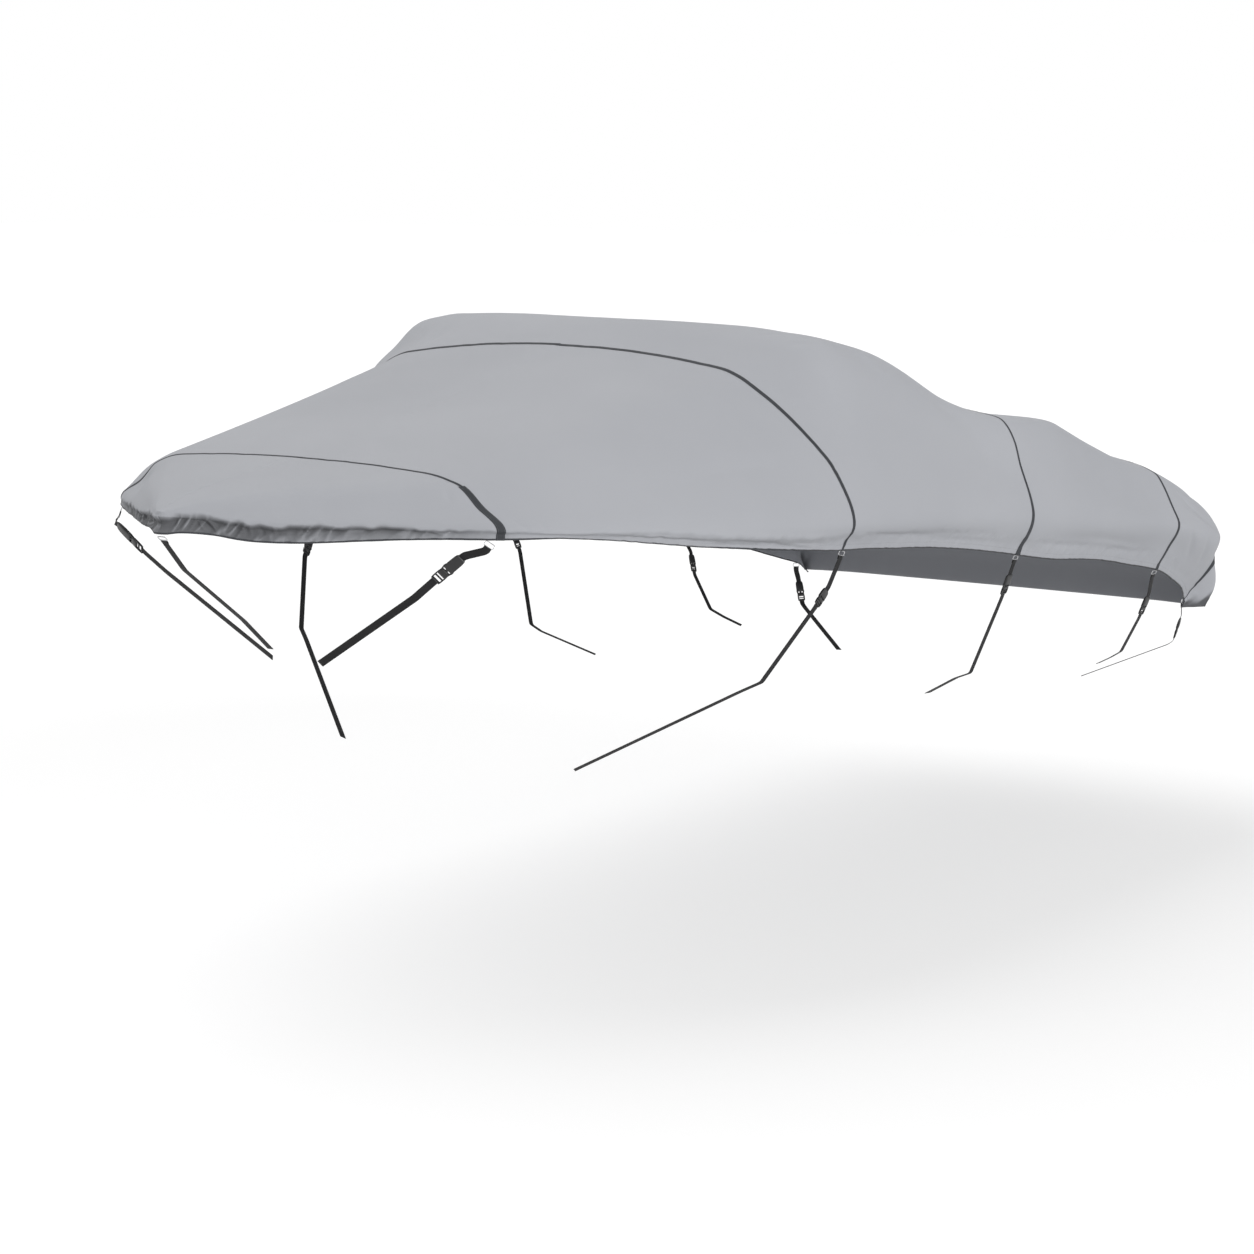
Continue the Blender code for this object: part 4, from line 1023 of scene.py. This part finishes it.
# the profile of the webbing, clockwise: shares of half its width and of half its thickness
UPPER = np.array([(-1, 0), (-.985, .62), (-.94, .92), (-.5, 1), (0, 1), (.5, 1), (.94, .92), (.985, .62)])
PROFILE = np.concatenate([UPPER, -UPPER])
# in mm: the buckle's two ends and the bends of the tail (x aft of the bow, half, height)
STRAPS = {
    "1": [(545, 716, 1452), (548, 610, 1376), (560, 520, 1313), (600, 100, 1064)],
    "2": [(1952, 1124, 1228), (1914, 1112, 1183), (1756, 1000, 935), (1715, 940, 902),
          (1400, 500, 641)],
    "3": [(3174, 1128, 1144), (3178, 1100, 1072), (3126, 1000, 780), (3120, 945, 758),
          (3230, 760, 668)],
    "4": [(4358, 1081, 922), (4346, 1058, 853), (4350, 975, 697), (4370, 920, 666), (4400, 850, 632)],
    "5": [(4965, 925, 750), (4957, 903, 668), (4948, 880, 640), (4760, 585, 505)],
}
BOW_STRAP = [(100, 0, 1408), (355, 0, 1225), (480, 0, 1118)]


def place(point, side):
    """A point of the straps' table in the frame, on either side."""
    x, half_width, z = np.array(point) / MM
    return np.array([x - CREST_AFT, side * half_width, z - CREST_HIGH + CLOTH])


def even_path(points):
    """A path through points, in even small steps, with softly rounded bends."""
    points = np.array(points, float)
    way = np.concatenate([[0.0], np.cumsum(np.linalg.norm(np.diff(points, axis=0), axis=1))])
    even = np.linspace(0.0, way[-1], max(int(way[-1] / PATH_STEP), 12) + 1)
    path = np.stack([np.interp(even, way, points[:, k]) for k in range(3)], axis=1)
    return averaged(path, BEND_BLUR, axis=0), even


def closed_tube(middle, across, face, profile, end=0.0):
    """A profile (across, towards the face) carried along a line, and shut at both ends by a ring
    that has no thickness and this share of the width."""
    index = np.concatenate([[0], np.arange(len(middle)), [len(middle) - 1]])
    size = np.ones((len(index), 1, 1))
    size[[0, -1]] = 0.0
    across, face = (np.broadcast_to(v, middle.shape)[index][:, None] for v in (across, face))
    profile = np.broadcast_to(profile, (len(middle),) + profile.shape[-2:])[index]
    points = (middle[index][:, None] + across * profile[..., :1] * (end + (1 - end) * size)
              + face * profile[..., 1:] * size)
    return points.reshape(-1, 3), tube_faces(len(index), profile.shape[1])


def webbing(name, cad_node, points, across):
    """Flat webbing along a path: across is the way of its width, turned square to the path."""
    path, way = even_path(points)
    forward = unit(np.gradient(path, axis=0))
    across = unit(across - forward * np.sum(across * forward, axis=1, keepdims=True))
    flat = PROFILE * np.array([WEB_WIDTH, WEB_THICK]) / 2
    points, faces = closed_tube(path, across, np.cross(forward, across), flat, WEB_END)
    way = np.concatenate([way[:1], way, way[-1:]])
    uv = np.stack(np.meshgrid(way, flat[:, 0], indexing="ij"), axis=-1)
    return hard_piece(name, points, faces, webbing_finish, "webbing", cad_node, uv)


def eye_path(bar, down, out, target):
    """A strap folded round a ring's bar and sewn to itself: up behind the bar, over it, down in
    front, which is the target's side, and on to the target."""
    if (target - bar) @ out < 0:
        out = -out
    radius = RING_WIRE / 2 + WEB_THICK / 2 + BAR_GAP
    inner = WEB_THICK / 2 + LAYER_GAP
    angle = np.radians(np.linspace(205, -25, 15))[:, None]
    loop = bar + radius * (out * np.cos(angle) - down * np.sin(angle))
    below = np.array([[SEWN], [0.011], [0.007]]) * down      # where the two layers lie flat
    return [*(bar + below - out * inner), *loop, *(bar + below[::-1] + out * inner), target]


# %% [markdown]
# ## Buckles
#
# A side-release buckle has a hollow body, into which a plug with two springy arms snaps. The arms
# bulge out at the sides, where fingers squeeze them, and the plug ends in a frame with bars that
# the webbing is threaded round. Each of these is a rounded profile carried along the buckle, and
# together they make one piece.

# %% Buckles
BUCKLE_WIDTH = 0.036
BUCKLE_THICK = 0.012
# its shells, in per cent: the sides they lie on, and at places from start to end their width,
# their thickness and how far aside they lie, for body, plug, guide, arms and rails of the frame
BUCKLE = [
    ([1], [(0, 80, 45, 0), (3, 90, 62, 0), (12, 98, 86, 0), (30, 100, 100, 0), (44, 100, 100, 0),
           (49, 98, 92, 0), (51, 93, 80, 0)]),
    ([1], [(58, 70, 55, 0), (60, 84, 74, 0), (66, 94, 84, 0), (74, 97, 84, 0), (76, 95, 60, 0)]),
    ([1], [(46, 26, 40, 0), (52, 26, 42, 0), (62, 30, 42, 0)]),
    ([1, -1], [(40, 10, 50, 40), (45, 15, 60, 45.5), (51, 16, 62, 46.5), (56, 14, 60, 43),
               (62, 14, 60, 40)]),
    ([1, -1], [(72, 10, 62, 43.5), (85, 12, 60, 43), (96, 11, 52, 42), (100, 8, 40, 41)]),
]
BARS = [(0.845, 0.46), (0.975, 0.50)]     # cross bars of the frame: place and thickness
ROUND = 0.45             # 1 would make the profiles ellipses, 0 rectangles
BAR_REACH = np.array([[-0.44], [-0.15], [0.15], [0.44]])      # of the width


def rounded(sides, wide, thick):
    """Rounded rectangles of these widths and heights: circles with their corners pushed out."""
    angle = np.linspace(0, 2 * np.pi, sides, endpoint=False)
    circle = np.stack([np.cos(angle), np.sin(angle)], axis=1)
    profile = 0.5 * np.sign(circle) * np.abs(circle) ** ROUND
    return profile * np.stack([wide, thick], axis=1)[:, None]


def make_buckle(name, cad_node, start, end, across):
    """A side-release buckle from start to end: body, plug, guide, two arms and the bar frame."""
    length = np.linalg.norm(end - start)
    way = (end - start) / length
    across = unit(across - way * (across @ way))
    face = np.cross(way, across)
    shells = []
    for sign, table in ((sign, table) for signs, table in BUCKLE for sign in signs):
        part, wide, thick, aside = np.array(table).T / 100
        middle = (start + way * (part * length)[:, None]
                  + across * (sign * aside * BUCKLE_WIDTH)[:, None])
        profile = rounded(20, wide * BUCKLE_WIDTH, thick * BUCKLE_THICK)
        shells.append(closed_tube(middle, across, face, profile))
    for part, thick in BARS:
        middle = start + way * part * length + BAR_REACH * BUCKLE_WIDTH * across
        size = np.full(len(middle), thick * BUCKLE_THICK)
        shells.append(closed_tube(middle, way, face, rounded(12, size * 0.8, size)))
    counts = np.cumsum([0] + [len(points) for points, _ in shells])
    points = np.concatenate([points for points, _ in shells])
    faces = np.concatenate([f + c for (_, f), c in zip(shells, counts)])
    return hard_piece(name, points, faces, plastic_finish, "plastic", cad_node)


# %% All straps
THREADED = 0.014         # the webbing runs straight this far before and behind the buckle
SHORT_INSIDE = 0.006     # and ends this far inside it
TAIL_INSIDE = 0.008


def make_strap(number, side, label):
    """A side strap: ring, short sewn strap, buckle and tail."""
    start, end, *bends = [place(p, side) for p in STRAPS[number]]
    which = f"{number}_{label}"
    bar, down, across, out = make_ring("ring_" + which, start)
    way = unit(end - start)
    short = eye_path(bar, down, out, start - way * THREADED)
    short += [start - way * 0.001, start + way * SHORT_INSIDE]
    webbing("short_strap_" + which, "strap_" + which, short, across)
    make_buckle("side_buckle_" + which, "buckle_" + which, start, end, across)
    tail = [end - way * TAIL_INSIDE, end + way * THREADED, *bends]
    webbing("long_tail_" + which, "tail_" + which, tail, across)


for label, side in (("port", PORT), ("starboard", STARBOARD)):
    for number in STRAPS:
        make_strap(number, side, label)
spots = [place(p, STARBOARD) for p in BOW_STRAP]
bar, down, across, out = make_ring("ring_bow", spots[0])
webbing("nose_strap", "strap_bow", eye_path(bar, down, out, spots[0]) + spots[1:], across)
print("straps:", 2 * len(STRAPS), "at the sides and one at the bow")
